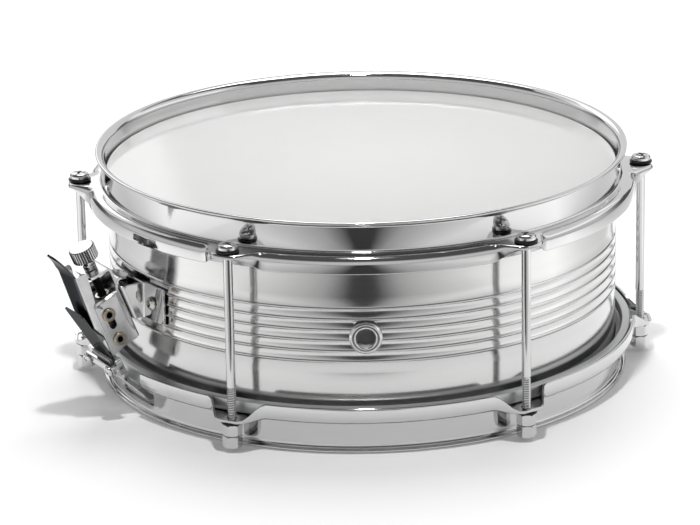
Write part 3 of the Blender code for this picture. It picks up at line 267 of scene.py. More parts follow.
def loft(rings, round_trip=False):
    """Joins closed sections of equal length. round_trip joins the last to the first."""
    work = bmesh.new()
    rows = [[work.verts.new(point) for point in ring] for ring in rings]
    for first, second in zip(rows, rows[1:]):
        bridge(work, first, second)
    if round_trip:
        bridge(work, rows[-1], rows[0])
    else:
        work.faces.new(rows[0])
        work.faces.new(rows[-1])
    return finished(work)


def plate_face(work, outline, holes=()):
    """Fills a flat outline with holes in the XY plane."""
    edges = []
    for loop in [outline, *holes]:
        verts = [work.verts.new((x, y, 0)) for x, y in loop]
        for first, second in zip(verts, verts[1:] + verts[:1]):
            edges.append(work.edges.new((first, second)))
    bmesh.ops.triangle_fill(work, edges=edges, use_beauty=True, use_dissolve=False)
    bmesh.ops.recalc_face_normals(work, faces=work.faces)
    if sum(face.normal.z for face in work.faces) < 0:
        bmesh.ops.reverse_faces(work, faces=work.faces)


def slab(outline, low, high, holes=(), plane="XY"):
    """A flat plate between two levels across its plane."""
    work = bmesh.new()
    plate_face(work, outline, holes)
    lifted = bmesh.ops.extrude_face_region(work, geom=work.faces[:])
    top = [item for item in lifted["geom"] if isinstance(item, bmesh.types.BMVert)]
    bmesh.ops.translate(work, verts=top, vec=(0, 0, high - low))
    bmesh.ops.translate(work, verts=work.verts, vec=(0, 0, low))
    if plane == "XZ":
        swap = Matrix.Rotation(QUARTER, 4, "X")
        bmesh.ops.transform(work, matrix=swap, verts=work.verts)
    elif plane == "YZ":
        swap = Matrix(((0, 0, 1, 0), (1, 0, 0, 0), (0, 1, 0, 0), (0, 0, 0, 1)))
        bmesh.ops.transform(work, matrix=swap, verts=work.verts)
    return finished(work)


def bent_sheet(outline, holes, place, cuts_across, cuts_up):
    """A flat blank, cut along its fold lines and laid into shape by place(t, s)."""
    work = bmesh.new()
    plate_face(work, outline, holes)
    for cuts, normal in ((cuts_across, (1, 0, 0)), (cuts_up, (0, 1, 0))):
        for cut in cuts:
            middle = Vector(normal) * cut
            geom = work.verts[:] + work.edges[:] + work.faces[:]
            bmesh.ops.bisect_plane(work, geom=geom, dist=1e-5, plane_co=middle, plane_no=normal)
    for vert in work.verts:
        vert.co = place(vert.co.x, vert.co.y)
    return as_mesh(work)


def grid_sheet(rows):
    """A sheet through rows of points."""
    work = bmesh.new()
    lines = [[work.verts.new(point) for point in row] for row in rows]
    for first, second in zip(lines, lines[1:]):
        bridge(work, first, second, wrap=False)
    return as_mesh(work)


def along(path, distance):
    """The point at a distance along an open chain of points, going straight on past its ends."""
    rest = distance
    for i, (first, second) in enumerate(zip(path, path[1:])):
        step = Vector(second) - Vector(first)
        if rest <= step.length or i == len(path) - 2:
            return Vector(first) + step.normalized() * rest
        rest -= step.length


def distances(path):
    """How far along a chain of points each of them lies."""
    total = 0.0
    marks = [0.0]
    for first, second in zip(path, path[1:]):
        total += (Vector(second) - Vector(first)).length
        marks.append(total)
    return marks


def moved(mesh, matrix):
    """The mesh carried to another place."""
    mesh.transform(matrix)
    return mesh


def carved(mesh, tools, operation="DIFFERENCE", solver="EXACT"):
    """The mesh after cutting it with, or down to, other meshes."""
    helper = bpy.data.objects.new("carving", mesh)
    bpy.context.scene.collection.objects.link(helper)
    cutters = []
    for tool in tools:
        cutter = bpy.data.objects.new("cutter", tool)
        bpy.context.scene.collection.objects.link(cutter)
        cutters.append(cutter)
        step = helper.modifiers.new("carve", "BOOLEAN")
        step.operation = operation
        step.object = cutter
        step.solver = solver
    graph = bpy.context.evaluated_depsgraph_get()
    result = bpy.data.meshes.new_from_object(helper.evaluated_get(graph))
    for obj in [helper, *cutters]:
        bpy.data.objects.remove(obj, do_unlink=True)
    result.materials.clear()
    result.shade_smooth()
    result.set_sharp_from_angle(angle=math.radians(CRISP_CUT))
    return result


def joined(meshes):
    """Several meshes as one."""
    work = bmesh.new()
    for mesh in meshes:
        work.from_mesh(mesh)
    result = bpy.data.meshes.new("joined")
    work.to_mesh(result)
    work.free()
    result.shade_smooth()
    result.set_sharp_from_angle(angle=math.radians(CRISP_CUT))
    return result


# Pieces


def add_piece(name, mesh, material, place, body, nodes, slot):
    """Puts a mesh in the scene on its CAD body, in place of the CAD nodes it stands for."""
    obj = bpy.data.objects.new(name, mesh)
    bpy.context.scene.collection.objects.link(obj)
    obj.matrix_world = place
    if material.name not in [m.name for m in mesh.materials if m]:
        mesh.materials.append(material)
    if body is not None:
        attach(obj, body)
    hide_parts(*nodes)
    return obj


def soften(obj, width, angle=30):
    """Rounds a piece's edges by a width in millimetres where they turn by more than an angle."""
    bevel = obj.modifiers.new("soften", "BEVEL")
    bevel.width = width * MM
    bevel.segments = 2
    bevel.limit_method = "ANGLE"
    bevel.angle_limit = math.radians(angle)
    bevel.harden_normals = True


def thicken(obj, sheet):
    """Gives a bent sheet its thickness in millimetres and rounds its cut edges."""
    wall = obj.modifiers.new("sheet", "SOLIDIFY")
    wall.thickness = sheet * MM
    wall.offset = -1
    wall.use_even_offset = True
    soften(obj, 0.3, angle=50)


# Materials


def rgb(code):
    """An sRGB colour code such as #c8c8c8 as linear red, green, blue and alpha."""
    parts = [int(code[i:i + 2], 16) / 255 for i in (1, 3, 5)]
    linear = [c / 12.92 if c <= 0.04045 else ((c + 0.055) / 1.055) ** 2.4 for c in parts]
    return (*linear, 1.0)


def node(tree, kind, links=(), stops=(), **settings):
    """Adds a shader node with its settings, its links and, for a colour ramp, its stops.

    links are (input, output socket) pairs and stops are (position, colour code) pairs. A
    setting that starts with an upper-case letter is an input by name, one such as i1 is
    an input by number, and any other is a property of the node.
    """
    made = tree.nodes.new(kind)
    for key, value in settings.items():
        if key[0] == "i" and key[1:].isdigit():
            made.inputs[int(key[1:])].default_value = value
        elif key[0].isupper():
            made.inputs[key.replace("_", " ")].default_value = value
        else:
            setattr(made, key, value)
    for target, source in links:
        tree.links.new(source, made.inputs[target])
    if stops:
        ramp = made.color_ramp.elements
        ramp[0].position, ramp[0].color = stops[0][0], rgb(stops[0][1])
        ramp[1].position, ramp[1].color = stops[-1][0], rgb(stops[-1][1])
        for position, code in stops[1:-1]:
            ramp.new(position).color = rgb(code)
    return made


def new_material(name, **settings):
    """A material with a Principled shader and its plain values."""
    material = bpy.data.materials.new(name)
    material.use_nodes = True
    tree = material.node_tree
    tree.nodes.clear()
    shader = node(tree, "ShaderNodeBsdfPrincipled", **settings)
    node(tree, "ShaderNodeOutputMaterial", [("Surface", shader.outputs[0])])
    return material, tree, shader


def pattern(tree, size, stretch=(1, 1, 1), detail=3.0, roughness=0.5):
    """Noise in the piece's own axes: marks size millimetres wide, stretched along some axes."""
    place = node(tree, "ShaderNodeTexCoord")
    scale = [1 / (size * MM * longer) for longer in stretch]
    sized = node(tree, "ShaderNodeMapping", [("Vector", place.outputs["Object"])], Scale=scale)
    noise = node(
        tree, "ShaderNodeTexNoise", [("Vector", sized.outputs[0])],
        Scale=1.0, Detail=detail, Roughness=roughness,
    )
    return noise.outputs[0]


def work_in(tree, shader, marks, relief=None, rough=None, tones=None):
    """Works a pattern into a surface: as relief in millimetres, as roughness, as colour.

    The roughness and the colour reach their ends at the pattern's faint and strong marks.
    """
    faint, strong = 0.3, 0.7
    if relief:
        raised = node(
            tree, "ShaderNodeBump", [("Height", marks)], Strength=1.0, Distance=relief * MM
        )
        tree.links.new(raised.outputs[0], shader.inputs["Normal"])
    if rough:
        haze = node(
            tree, "ShaderNodeMapRange", [("Value", marks)],
            From_Min=faint, From_Max=strong, To_Min=rough[0], To_Max=rough[1],
        )
        tree.links.new(haze.outputs[0], shader.inputs["Roughness"])
    if tones:
        share = node(
            tree, "ShaderNodeMapRange", [("Value", marks)], From_Min=faint, From_Max=strong
        )
        mix = node(
            tree, "ShaderNodeMix", [(0, share.outputs[0])],
            data_type="RGBA", i6=rgb(tones[0]), i7=rgb(tones[1]),
        )
        tree.links.new(mix.outputs[2], shader.inputs["Base Color"])


def colour_by_radius(tree, shader, radius, stops):
    """Colours a turned piece by its distance from its own axis, as shares of a radius."""
    place = node(tree, "ShaderNodeTexCoord")
    flat = node(
        tree, "ShaderNodeVectorMath", [(0, place.outputs["Object"])],
        operation="MULTIPLY", i1=(1, 1, 0),
    )
    out = node(tree, "ShaderNodeVectorMath", [(0, flat.outputs[0])], operation="LENGTH")
    share = node(
        tree, "ShaderNodeMath", [(0, out.outputs["Value"])], operation="DIVIDE", i1=radius * MM
    )
    ramp = node(tree, "ShaderNodeValToRGB", [("Fac", share.outputs[0])], stops)
    tree.links.new(ramp.outputs[0], shader.inputs["Base Color"])


def chrome_plate():
    """Bright chrome over pressed steel: slow waves in the sheet bend what it mirrors a little."""
    material, tree, shader = new_material(
        "chrome_plated_steel", Base_Color=rgb("#cfcfcf"), Metallic=1.0
    )
    work_in(tree, shader, pattern(tree, 26, detail=2.0), relief=0.10)
    work_in(tree, shader, pattern(tree, 9), rough=(0.05, 0.10))
    return material


def satin_chrome():
    """Chrome over a tumbled blank: softer than the hoops, so it mirrors without sharp edges."""
    material, tree, shader = new_material(
        "satin_chrome_steel", Base_Color=rgb("#dcdcdc"), Metallic=1.0
    )
    work_in(tree, shader, pattern(tree, 5, detail=2.0), relief=0.02, rough=(0.18, 0.26))
    return material


def knurled_chrome():
    """Chrome over cut knurling: polished crests, with the grooves between them darkened by painted
    shade.
    """
    material, tree, shader = new_material("knurled_chrome_painted_groove_shade", Metallic=1.0, Roughness=0.2)
    # The colour by radius is painted shade: dark at the groove floors, bright at the crests.
    groove = 1 - 0.9 * KNURL_DEPTH / KNOB_RADIUS
    crest = 1 - 0.2 * KNURL_DEPTH / KNOB_RADIUS
    colour_by_radius(tree, shader, KNOB_RADIUS, ((groove, "#2c2c2c"), (crest, "#d8d8d8")))
    return material


def chrome_with_painted_dark_reflection():
    """Chrome over a brushed base, painted dark grey as a painted dark reflection, and darker still
    at a low angle.

    The brushed lines run across the piece and are drawn coarser than real, so that they show.
    """
    # The dark grey base colour is a painted dark reflection, not a finish the metal has.
    material, tree, shader = new_material(
        "chrome_painted_dark_reflection", Base_Color=rgb("#606163"), Metallic=1.0, Roughness=0.2,
        Specular_Tint=rgb("#8c8c8c"),
    )
    work_in(tree, shader, pattern(tree, 0.8, stretch=(1, 30, 1)), relief=0.01)
    return material


def spun_aluminium():
    """Shell rolled from bare aluminium: fine lathe lines run round it and blur what it mirrors.

    The lines are drawn coarser than real, because at their own width they would not show.
    """
    material, tree, shader = new_material("spun_aluminium", Metallic=1.0)
    lines = pattern(tree, 0.5, stretch=(260, 260, 1), detail=4.0, roughness=0.6)
    bands = pattern(tree, 18, stretch=(30, 30, 0.5))
    work_in(tree, shader, lines, relief=0.004, rough=(0.11, 0.16))
    work_in(tree, shader, bands, tones=("#cfcfcf", "#d5d5d4"))
    return material


def drawn_aluminium():
    """Flesh hoop bent from drawn aluminium section: dull, with lines left by its die.

    The lines are drawn coarser than real, so that they show.
    """
    material, tree, shader = new_material(
        "drawn_aluminium", Base_Color=rgb("#c4c5c6"), Metallic=1.0, Roughness=0.38
    )
    work_in(tree, shader, pattern(tree, 0.6, stretch=(120, 120, 1)), relief=0.01)
    return material


def polyester_film():
    """White coated polyester film: even, a little milky, with a soft gloss and a faint grain.

    The coating's grain is drawn coarser than real, so that it still breaks the gloss.
    """
    material, tree, shader = new_material(
        "coated_polyester", Roughness=0.06,
        Subsurface_Weight=0.8, Subsurface_Radius=(1, 1, 1), Subsurface_Scale=0.002,
    )
    work_in(tree, shader, pattern(tree, 0.9, detail=4.0), relief=0.02)
    work_in(tree, shader, pattern(tree, 60, detail=2.0), tones=("#eae9e8", "#ecebea"))
    return material


def clear_polyester():
    """Polyester strip that ties the snare wires to their clamps: milky, half clear and scuffed."""
    material, tree, shader = new_material(
        "clear_polyester", Base_Color=rgb("#f4f4f4"), Alpha=0.8
    )
    work_in(tree, shader, pattern(tree, 5, stretch=(1, 1, 6)), rough=(0.08, 0.3))
    return material


def nickel_plate():
    """Nickel-plated machine screws and nuts: warmer and softer than chrome."""
    material, tree, shader = new_material(
        "nickel_plated_steel", Base_Color=rgb("#cbc9c5"), Metallic=1.0
    )
    work_in(tree, shader, pattern(tree, 1.5), relief=0.02, rough=(0.12, 0.22))
    return material


def cast_zinc():
    """Zinc block left as cast: dark grey, dull, with the fine grain of its mould."""
    material, tree, shader = new_material("cast_zinc", Metallic=1.0, Roughness=0.42)
    grain = pattern(tree, 0.8, detail=4.0)
    work_in(tree, shader, grain, relief=0.04, tones=("#3e3e40", "#57575a"))
    return material


def black_oxide():
    """Steel with a black oxide skin: dark, oily and a little uneven."""
    material, tree, shader = new_material("black_oxide_steel", Metallic=0.6, Roughness=0.32)
    work_in(tree, shader, pattern(tree, 1.6), tones=("#121213", "#252526"))
    return material


def yellow_zinc():
    """Turned pins and rivets in zinc plate: grey, with a brass-coloured ring on each head and
    painted shade in the middle.
    """
    material, tree, shader = new_material("passivated_zinc_steel", Metallic=1.0, Roughness=0.28)
    # The first stop is painted shade, dark inside the pins' hollow bore; on the rivets it darkens
    # the middle of the crown.
    rings = (
        (0.4, "#2f2e2c"), (0.48, "#8d8c8a"), (0.66, "#8f8d8a"),
        (0.76, "#c2a780"), (0.86, "#b9a382"), (0.94, "#a3a19e"),
    )
    colour_by_radius(tree, shader, PIN_HEAD, rings)
    return material


def wire_steel():
    """Bright drawn steel wire, coiled for the snares, with marks drawn coarser than real."""
    material, tree, shader = new_material(
        "drawn_steel_wire", Base_Color=rgb("#b8b9bb"), Metallic=1.0, Roughness=0.22
    )
    work_in(tree, shader, pattern(tree, 0.3, stretch=(8, 1, 1)), relief=0.01)
    return material


CHROME = chrome_plate()
SATIN_CHROME = satin_chrome()
KNURLED_GROOVE_SHADE = knurled_chrome()
CHROME_PAINTED_DARK = chrome_with_painted_dark_reflection()
ALUMINIUM = spun_aluminium()
FLESH_ALUMINIUM = drawn_aluminium()
FILM = polyester_film()
STRAP = clear_polyester()
NICKEL = nickel_plate()
CAST_ZINC = cast_zinc()
OXIDE = black_oxide()
BRASSY = yellow_zinc()
WIRE = wire_steel()


# Shell


def shell_profile():
    """The shell's outer skin from top to bottom, with round edges and rolled beads."""
    roll = 2.0
    edge_return = 2.8
    beside_beads = BEADS * BEAD_PITCH / 2 + 4
    points = [(SHELL_RADIUS - roll - edge_return, HALF_DEPTH - roll / 2)]
    steps = 6
    for step in range(steps + 1):
        angle = math.radians(105 - 105 * step / steps)
        out = SHELL_RADIUS - roll + roll * math.cos(angle)
        points.append((out, HALF_DEPTH - roll + roll * math.sin(angle)))
    edge = len(points)
    points.append((SHELL_RADIUS, beside_beads))
    steps = 8
    for bead in range(BEADS):
        crest = (BEADS / 2 - 0.5 - bead) * BEAD_PITCH
        for step in range(steps + 1):
            phase = 2 * step / steps - 1
            swell = BEAD_SHOWN * math.cos(phase * QUARTER) ** 2
            points.append((SHELL_RADIUS + swell, crest - phase * BEAD_HALF))
    points.append((SHELL_RADIUS, -beside_beads))
    return points + [(r, -z) for r, z in reversed(points[:edge])]


def build_shell():
    """The beaded shell with its vent hole and its screw holes."""
    outer = shell_profile()
    inner = []
    for i, (radius, height) in enumerate(outer):
        before, after = outer[max(i - 1, 0)], outer[min(i + 1, len(outer) - 1)]
        run = Vector((after[0] - before[0], after[1] - before[1])).normalized() * SHELL_WALL
        inner.append((radius + run.y, height - run.x))
    solid = lathe(outer + inner[::-1], 240, closed=True, crisp=CRISP_ROLLED)
    vent_hole, screw_hole, reach = 6.6, 2.3, 8
    holes = [("vent_eyelet", vent_hole)]
    for label in ("bracket", "butt"):
        holes += [(f"{label}_screw_{n}", screw_hole) for n in (1, 2)]
    drills = []
    for name, radius in holes:
        spot = node_middle(name) - DRUM_MIDDLE
        turn = math.atan2(spot.y, spot.x)
        drill = lathe([(0, -reach), (radius, -reach), (radius, reach), (0, reach)], 32)
        place = facing_out(on_circle(SHELL_RADIUS * MM, turn, spot.z), turn)
        drills.append(moved(drill, place))
    shell = carved(solid, drills, solver="MANIFOLD")
    add_piece("shell_body", shell, ALUMINIUM, DRUM, "drum", ["shell"], "shell_aluminium")


# Heads


def build_heads():
    """Both films, each moulded over the shell's edge, and the flesh hoops that grip them."""
    film = 0.35
    collar = 9.8
    steps = 192
    out = SHELL_RADIUS + CLEAR + film
    grip = FLESH_OUT - FLESH_WIDTH
    outer = fillet(
        [
            (0, FILM_TOP, 0),
            (out, FILM_TOP, 2.0),
            (out, FILM_TOP - collar, 1.2),
            (grip - CLEAR, COLLAR_FOOT + film, 0),
        ],
        closed=False,
        steps=8,
    )
    field = [(r, FILM_TOP) for r in range(0, 150, 15)]
    inner = [(r - film * 0.9, z - film * 0.6) for r, z in reversed(outer[1:])]
    profile = field + outer[1:] + inner + [(0, FILM_TOP - film)]
    corner = 0.9
    section = fillet(
        [
            (grip, FLESH_TOP, corner),
            (FLESH_OUT, FLESH_TOP, 1.5),
            (FLESH_OUT, FLESH_LOW, corner),
            (grip, FLESH_LOW, corner),
        ]
    )
    over = Matrix.Rotation(math.pi, 4, "X")
    for label, place in (("batter", DRUM), ("snare", DRUM @ over)):
        head = lathe(profile, steps, crisp=CRISP_ROLLED)
        add_piece(f"{label}_film", head, FILM, place, "drum", [f"{label}_head"], "head_film")
        hoop = lathe(section, steps, closed=True)
        name = f"{label}_flesh_hoop"
        add_piece(
            f"{name}_ring", hoop, FLESH_ALUMINIUM, place, "drum", [name], "shell_aluminium"
        )


# Hoops


def hoop_section(reach, skirt):
    """The hoop's section: a flared rim, a wall, a ledge and a lip with rounded sheet edges.

    reach is how far out the ledge runs. skirt is 0 on an ear, which is flat, and 1 between
    the ears, where the lip hangs to its full height.
    """
    bend = EAR_BEND + (LIP_BEND - EAR_BEND) * skirt
    edge = LEDGE_HEIGHT - bend - (LIP_HEIGHT - bend) * skirt - 0.2
    rim_edge = 0.8
    lip_edge = 0.12 + 0.6 * skirt
    return fillet(
        [
            (RIM_RADIUS, RIM_HEIGHT - HOOP_SHEET, rim_edge),
            (WALL_OUT, RIM_HEIGHT - HOOP_SHEET, RIM_FLARE - HOOP_SHEET),
            (WALL_OUT, LEDGE_HEIGHT, LEDGE_FILLET),
            (reach, LEDGE_HEIGHT, bend),
            (reach, edge, lip_edge),
            (reach - HOOP_SHEET, edge, lip_edge),
            (reach - HOOP_SHEET, LEDGE_UNDER, bend - HOOP_SHEET),
            (WALL_IN, LEDGE_UNDER, 1.2),
            (WALL_IN, RIM_HEIGHT, RIM_FLARE),
            (RIM_RADIUS, RIM_HEIGHT, rim_edge),
        ],
        steps=5,
    )


def hoop_mesh():
    """The hoop's section carried round the drum, swelling into an ear at each rod."""
    stations = 384
    rings = []
    for i in range(stations):
        angle = TURN * i / stations
        turns = [(angle - rod_angle(k) + math.pi) % TURN - math.pi for k in range(RODS)]
        distance = min(abs(turn) for turn in turns) * ROD_CIRCLE
        skirt = smooth_step(distance, EAR_FLAT, EAR_SPREAD)
        bulge = 1 - smooth_step(distance, EAR_FLAT * 0.6, EAR_SPREAD * 0.95)
        reach = LIP_RADIUS + (EAR_RADIUS - LIP_RADIUS) * bulge
        rings.append([on_circle(r, angle, z) for r, z in hoop_section(reach, skirt)])
    return loft(rings, round_trip=True)


def ear_drills():
    """Six drills for the rods, which pass through a hoop's ears."""
    hole, low, high = 3.1, 40, 60
    drills = []
    for i in range(RODS):
        drill = lathe([(0, low), (hole, low), (hole, high), (0, high)], 28)
        spot = on_circle(ROD_CIRCLE, rod_angle(i)) * MM
        drills.append(moved(drill, Matrix.Translation(spot)))
    return drills


def gate_cutters():
    """The two openings in the lower hoop through which the snare straps pass."""
    half = 18.75
    sill = -RIM_HEIGHT + 6.4
    top = -LEDGE_HEIGHT + LIP_HEIGHT + 3
    near, far = WALL_IN - 2, LIP_RADIUS + 3
    outline = fillet([(-half, sill, 2.0), (half, sill, 2.0), (half, top, 0), (-half, top, 0)])
    return [slab(outline, low, high, plane="YZ") for low, high in ((-far, -near), (near, far))]


def build_hoops():
    """The upper hoop, and the lower one turned over and cut for the gates."""
    upper = carved(hoop_mesh(), ear_drills())
    add_piece("top_hoop_pressing", upper, CHROME, DRUM, "drum", ["top_hoop"], "chrome")
    lower = carved(hoop_mesh(), ear_drills())
    lower.transform(Matrix.Diagonal((1, 1, -1, 1)))
    lower.flip_normals()
    lower = carved(lower, gate_cutters())
    add_piece("bottom_hoop_pressing", lower, CHROME, DRUM, "drum", ["bottom_hoop"], "chrome")


# Tension rods


def threaded(radius, depth, pitch, low, high):
    """The skin of a screw thread that runs down from high to low."""
    steps = 16
    turns = int((high - low) / pitch) - 1
    work = bmesh.new()
    rows = []
    for k in range(turns * steps + 1):
        angle = -TURN * k / steps
        height = high - pitch * k / steps
        root = on_circle(radius - depth, angle, height)
        crest = on_circle(radius, angle, height - pitch * 0.42)
        crest_end = on_circle(radius, angle, height - pitch * 0.58)
        rows.append([work.verts.new(root), work.verts.new(crest), work.verts.new(crest_end)])
    for first, second in zip(rows, rows[1:]):
        for i in range(2):
            work.faces.new((first[i], second[i], second[i + 1], first[i + 1]))
    for k in range(len(rows) - steps - 1):
        first, second = rows[k], rows[k + 1]
        below, beside = rows[k + steps], rows[k + steps + 1]
        work.faces.new((first[2], second[2], beside[0], below[0]))
    bmesh.ops.recalc_face_normals(work, faces=work.faces)
    return as_mesh(work)


def cross_cutter(top, arm, width, depth):
    """A cross-shaped driver's tip that tapers downward, for a recess."""
    meshes = []
    for quarter in (0, QUARTER):
        rings = []
        for share, level in ((1.12, top + 0.6), (1.0, top - 0.2), (0.55, top - depth)):
            x = arm * share / 2
            y = width * (0.6 + 0.4 * share) / 2
            rings.append([(-x, -y, level), (x, -y, level), (x, y, level), (-x, y, level)])
        meshes.append(moved(loft(rings), Matrix.Rotation(quarter, 4, "Z")))
    return meshes


def rod_mesh():
    """A tension rod: a domed head with a cross recess, a plain shank and a cut thread.

    The thread's pitch is drawn coarser than real, so that its turns show.
    """
    head = 5.75
    under_head = ROD_TOP - 3.4
    thread_top = -30.0
    pitch, depth = 1.4, 0.6
    core = ROD_RADIUS - depth - 0.02
    profile = fillet(
        [
            (0, ROD_TOP, 0),
            (head * 0.5, ROD_TOP - 0.1, 3.0),
            (head * 0.86, ROD_TOP - 0.6, 1.0),
            (head, ROD_TOP - 1.7, 0.6),
            (head, under_head, 0.3),
            (ROD_RADIUS, under_head, 0.2),
            (ROD_RADIUS, thread_top, 0),
            (core, thread_top - 0.6, 0),
            (core, ROD_LOW + 0.3, 0),
            (ROD_RADIUS - 0.9, ROD_LOW, 0),
            (0, ROD_LOW, 0),
        ],
        closed=False,
    )
    recess = cross_cutter(ROD_TOP, arm=6.0, width=1.5, depth=2.3)
    body = carved(lathe(profile, 32), recess)
    thread = threaded(ROD_RADIUS, depth, pitch, ROD_LOW + 0.2, thread_top)
    return joined([body, thread])


def nut_mesh(top, low):
    """A hexagon nut with both ends chamfered and a bore."""
    across_flats = 10.0
    bore = ROD_RADIUS + 0.05
    chamfer = 0.9
    end = across_flats / 2 * 0.96
    widest = across_flats / 2 / math.cos(math.pi / 6) * 1.06
    block = slab(hexagon(across_flats), low, top, [ring_of((0, 0), bore)])
    cone = lathe(
        [
            (0, low),
            (end, low),
            (widest, low + chamfer),
            (widest, top - chamfer),
            (end, top),
            (0, top),
        ],
        48,
    )
    return carved(block, [cone], "INTERSECT")


def washer_mesh(top, low, radius):
    """A flat washer with eased edges."""
    hole = ROD_RADIUS + 0.2
    outer, inner = 0.35, 0.2
    section = [(hole, top, inner), (radius, top, outer), (radius, low, outer), (hole, low, inner)]
    return lathe(fillet(section, steps=3), 36, closed=True)


def build_rods():
    """Six rods with their washers and nuts. Each mesh is shared by all six places.

    Every rod stands at a turn of its own, as after tuning.
    """
    first_turn, next_turn = 0.9, 2.3
    rod = rod_mesh()
    upper = washer_mesh(WASHER_TOP, WASHER_LOW, radius=6.7)
    lower = washer_mesh(NUT_TOP + 1.4, NUT_TOP + 0.1, radius=6.2)
    nut = nut_mesh(NUT_TOP, NUT_LOW)
    lock = nut_mesh(LOCK_TOP, LOCK_LOW)
    for i in range(RODS):
        n = i + 1
        place = DRUM @ Matrix.Translation(on_circle(ROD_CIRCLE, rod_angle(i)) * MM)
        turned = place @ Matrix.Rotation(rod_angle(i), 4, "Z")
        spun = place @ Matrix.Rotation(first_turn + next_turn * i, 4, "Z")
        add_piece(
            f"rod_{n}", rod, CHROME, spun, f"tuning_rod_{n}", [f"tension_rod_{n}"], "chrome"
        )
        for label, mesh, material, spot, nodes, slot in (
            ("head_washer", upper, OXIDE, place, [f"rod_washer_{n}"], "blackened_steel"),
            ("ear_washer", lower, OXIDE, place, [], "blackened_steel"),
            ("nut", nut, CHROME, turned, [f"rod_nut_{n}"], "chrome"),
            ("locknut", lock, CHROME, turned, [f"lock_nut_{n}"], "chrome"),
        ):
            add_piece(f"{label}_{n}", mesh, material, spot, "drum", nodes, slot)


# Vent


def build_vent():
    """The vent eyelet, rolled over outside and clenched inside the shell."""
    middle = node_middle("vent_eyelet") - DRUM_MIDDLE
    turn = math.atan2(middle.y, middle.x)
    seat = BEAD_RADIUS + CLEAR
    bore, barrel, rim, rise = 5.5, 6.3, 9.5, 2.0
    behind, clench = -3.6, -4.4
    profile = fillet(
        [
            (bore, rise, 1.3),
            (rim - 1.2, rise, 1.4),
            (rim, 0.5, 0.4),
            (rim, 0, 0),
            (barrel, 0, 0),
            (barrel, behind, 0.2),
            (barrel + 1.7, behind, 0.3),
            (barrel + 1.4, clench, 0.3),
            (bore, clench, 0.3),
        ],
        steps=5,
    )
    mesh = lathe(profile, 48, closed=True)
    place = DRUM @ facing_out(on_circle(seat * MM, turn, middle.z), turn)
    add_piece("vent_ring", mesh, SATIN_CHROME, place, "drum", ["vent_eyelet"], "chrome")


# Strainer, in its own leaning frame: X outward, Y across, Z along the frame

LEAN = math.radians(22)
STRAINER_FOOT = (SHELL_RADIUS + 7.0, -19.5)
STRAINER = (
    DRUM
    @ Matrix.Translation(Vector((-STRAINER_FOOT[0], 0, STRAINER_FOOT[1])) * MM)
    @ Euler((0, LEAN, math.pi)).to_matrix().to_4x4()
)
BUTT_SIDE = DRUM
STRAINER_SIDE = DRUM @ Matrix.Rotation(math.pi, 4, "Z")
PLATE = 1.5
CHANNEL_HALF = 12.7
CHEEK_DEPTH = 17.5
CHEEK_TOP = 33.0
CHANNEL_TOP = 48.0
FLANGE_REACH = 12.5
PIN_OUT = 11.6
PIVOT_UP = 5.8
GUIDE_UP = 22.9
SCREW_OUT = 6.0
SCREW_AXIS = STRAINER @ Matrix.Translation((SCREW_OUT * MM, 0, 0))
LEVER_SHEET = 1.2
LEVER_HALF = CHANNEL_HALF - PLATE - CLEAR
LEVER_CHEEK = 20
WEB_FOOT = (23.0, 19.0)
WEB_TOP = (21.2, 53.0)
TONGUE_LENGTH = 16.0
STRIP_FOOT = -2.5
CLAMP_BACK = 17.5
CLAMP_DEPTH = 4.0
CLAMP_TOP = STRIP_FOOT - CLEAR
CLAMP_LOW = CLAMP_TOP - 10.2
CLAMP_MIDDLE = (CLAMP_TOP + CLAMP_LOW) / 2
CLAMP_SPACING = 27.0
CLAMP_GAP = 1.2
FOOT_SEAT = BEAD_RADIUS + 0.6 + PLATE
BRACKET_LOW, BRACKET_HIGH = -9.0, 12.0
BUTT_WEB = SHELL_RADIUS + 10.2
BUTT_LOW, BUTT_HIGH = -37.5, -21.5


def build_channel():
    """The strainer frame: one blank with slotted cheeks, folded round and over at the top."""
    bend = 4.6
    back_half = 11.2
    slot_half, slot_play, guide_drop = 2.3, 2, 7.4
    screw_hole = 2.9
    across = fillet(
        [
            (CHEEK_DEPTH, CHANNEL_HALF, 0),
            (-PLATE, CHANNEL_HALF, bend),
            (-PLATE, -CHANNEL_HALF, bend),
            (CHEEK_DEPTH, -CHANNEL_HALF, 0),
        ],
        closed=False,
    )
    back = [(-PLATE, 0, 0), (-PLATE, CHANNEL_TOP, 2.6), (FLANGE_REACH, CHANNEL_TOP, 0)]
    up = fillet(back, closed=False)
    half = distances(across)[-1] / 2
    end = distances(up)[-1]
    flat_from, flat_to = CHEEK_TOP - 1.5, CHEEK_TOP + 4

    def place(t, s):
        side = along(across, t + half)
        flat = Vector((-PLATE, -t))
        side = side.lerp(flat, smooth_step(s, flat_from, flat_to))
        rise = along(up, s)
        return Vector((side.x + PLATE + rise.x, side.y, rise.y))

    blank = fillet(
        [
            (half, 0, 2.0),
            (half, CHEEK_TOP, 4.6),
            (back_half, CHEEK_TOP, 1.2),
            (back_half, end, 3.0),
            (-back_half, end, 3.0),
            (-back_half, CHEEK_TOP, 1.2),
            (-half, CHEEK_TOP, 4.6),
            (-half, 0, 2.0),
        ]
    )
    holes = [ring_of((0, end - FLANGE_REACH + SCREW_OUT), screw_hole)]
    for side in (-1, 1):
        spot = side * (half - CHEEK_DEPTH + PIN_OUT)
        for low, high in (
            (GUIDE_UP - guide_drop, GUIDE_UP + slot_play),
            (PIVOT_UP - slot_play, PIVOT_UP + slot_play),
        ):
            holes.append(slot_of(spot, low, high, slot_half))
    cuts = [mark - half for mark in distances(across)[1:-1]]
    levels = distances(up)[1:-1] + [flat_from, CHEEK_TOP, CHEEK_TOP + 2, flat_to]
    mesh = bent_sheet(blank, holes, place, cuts, levels)
    obj = add_piece(
        "strainer_channel", mesh, SATIN_CHROME, STRAINER, "drum", ["strainer_frame"], "chrome"
    )
    thicken(obj, PLATE)


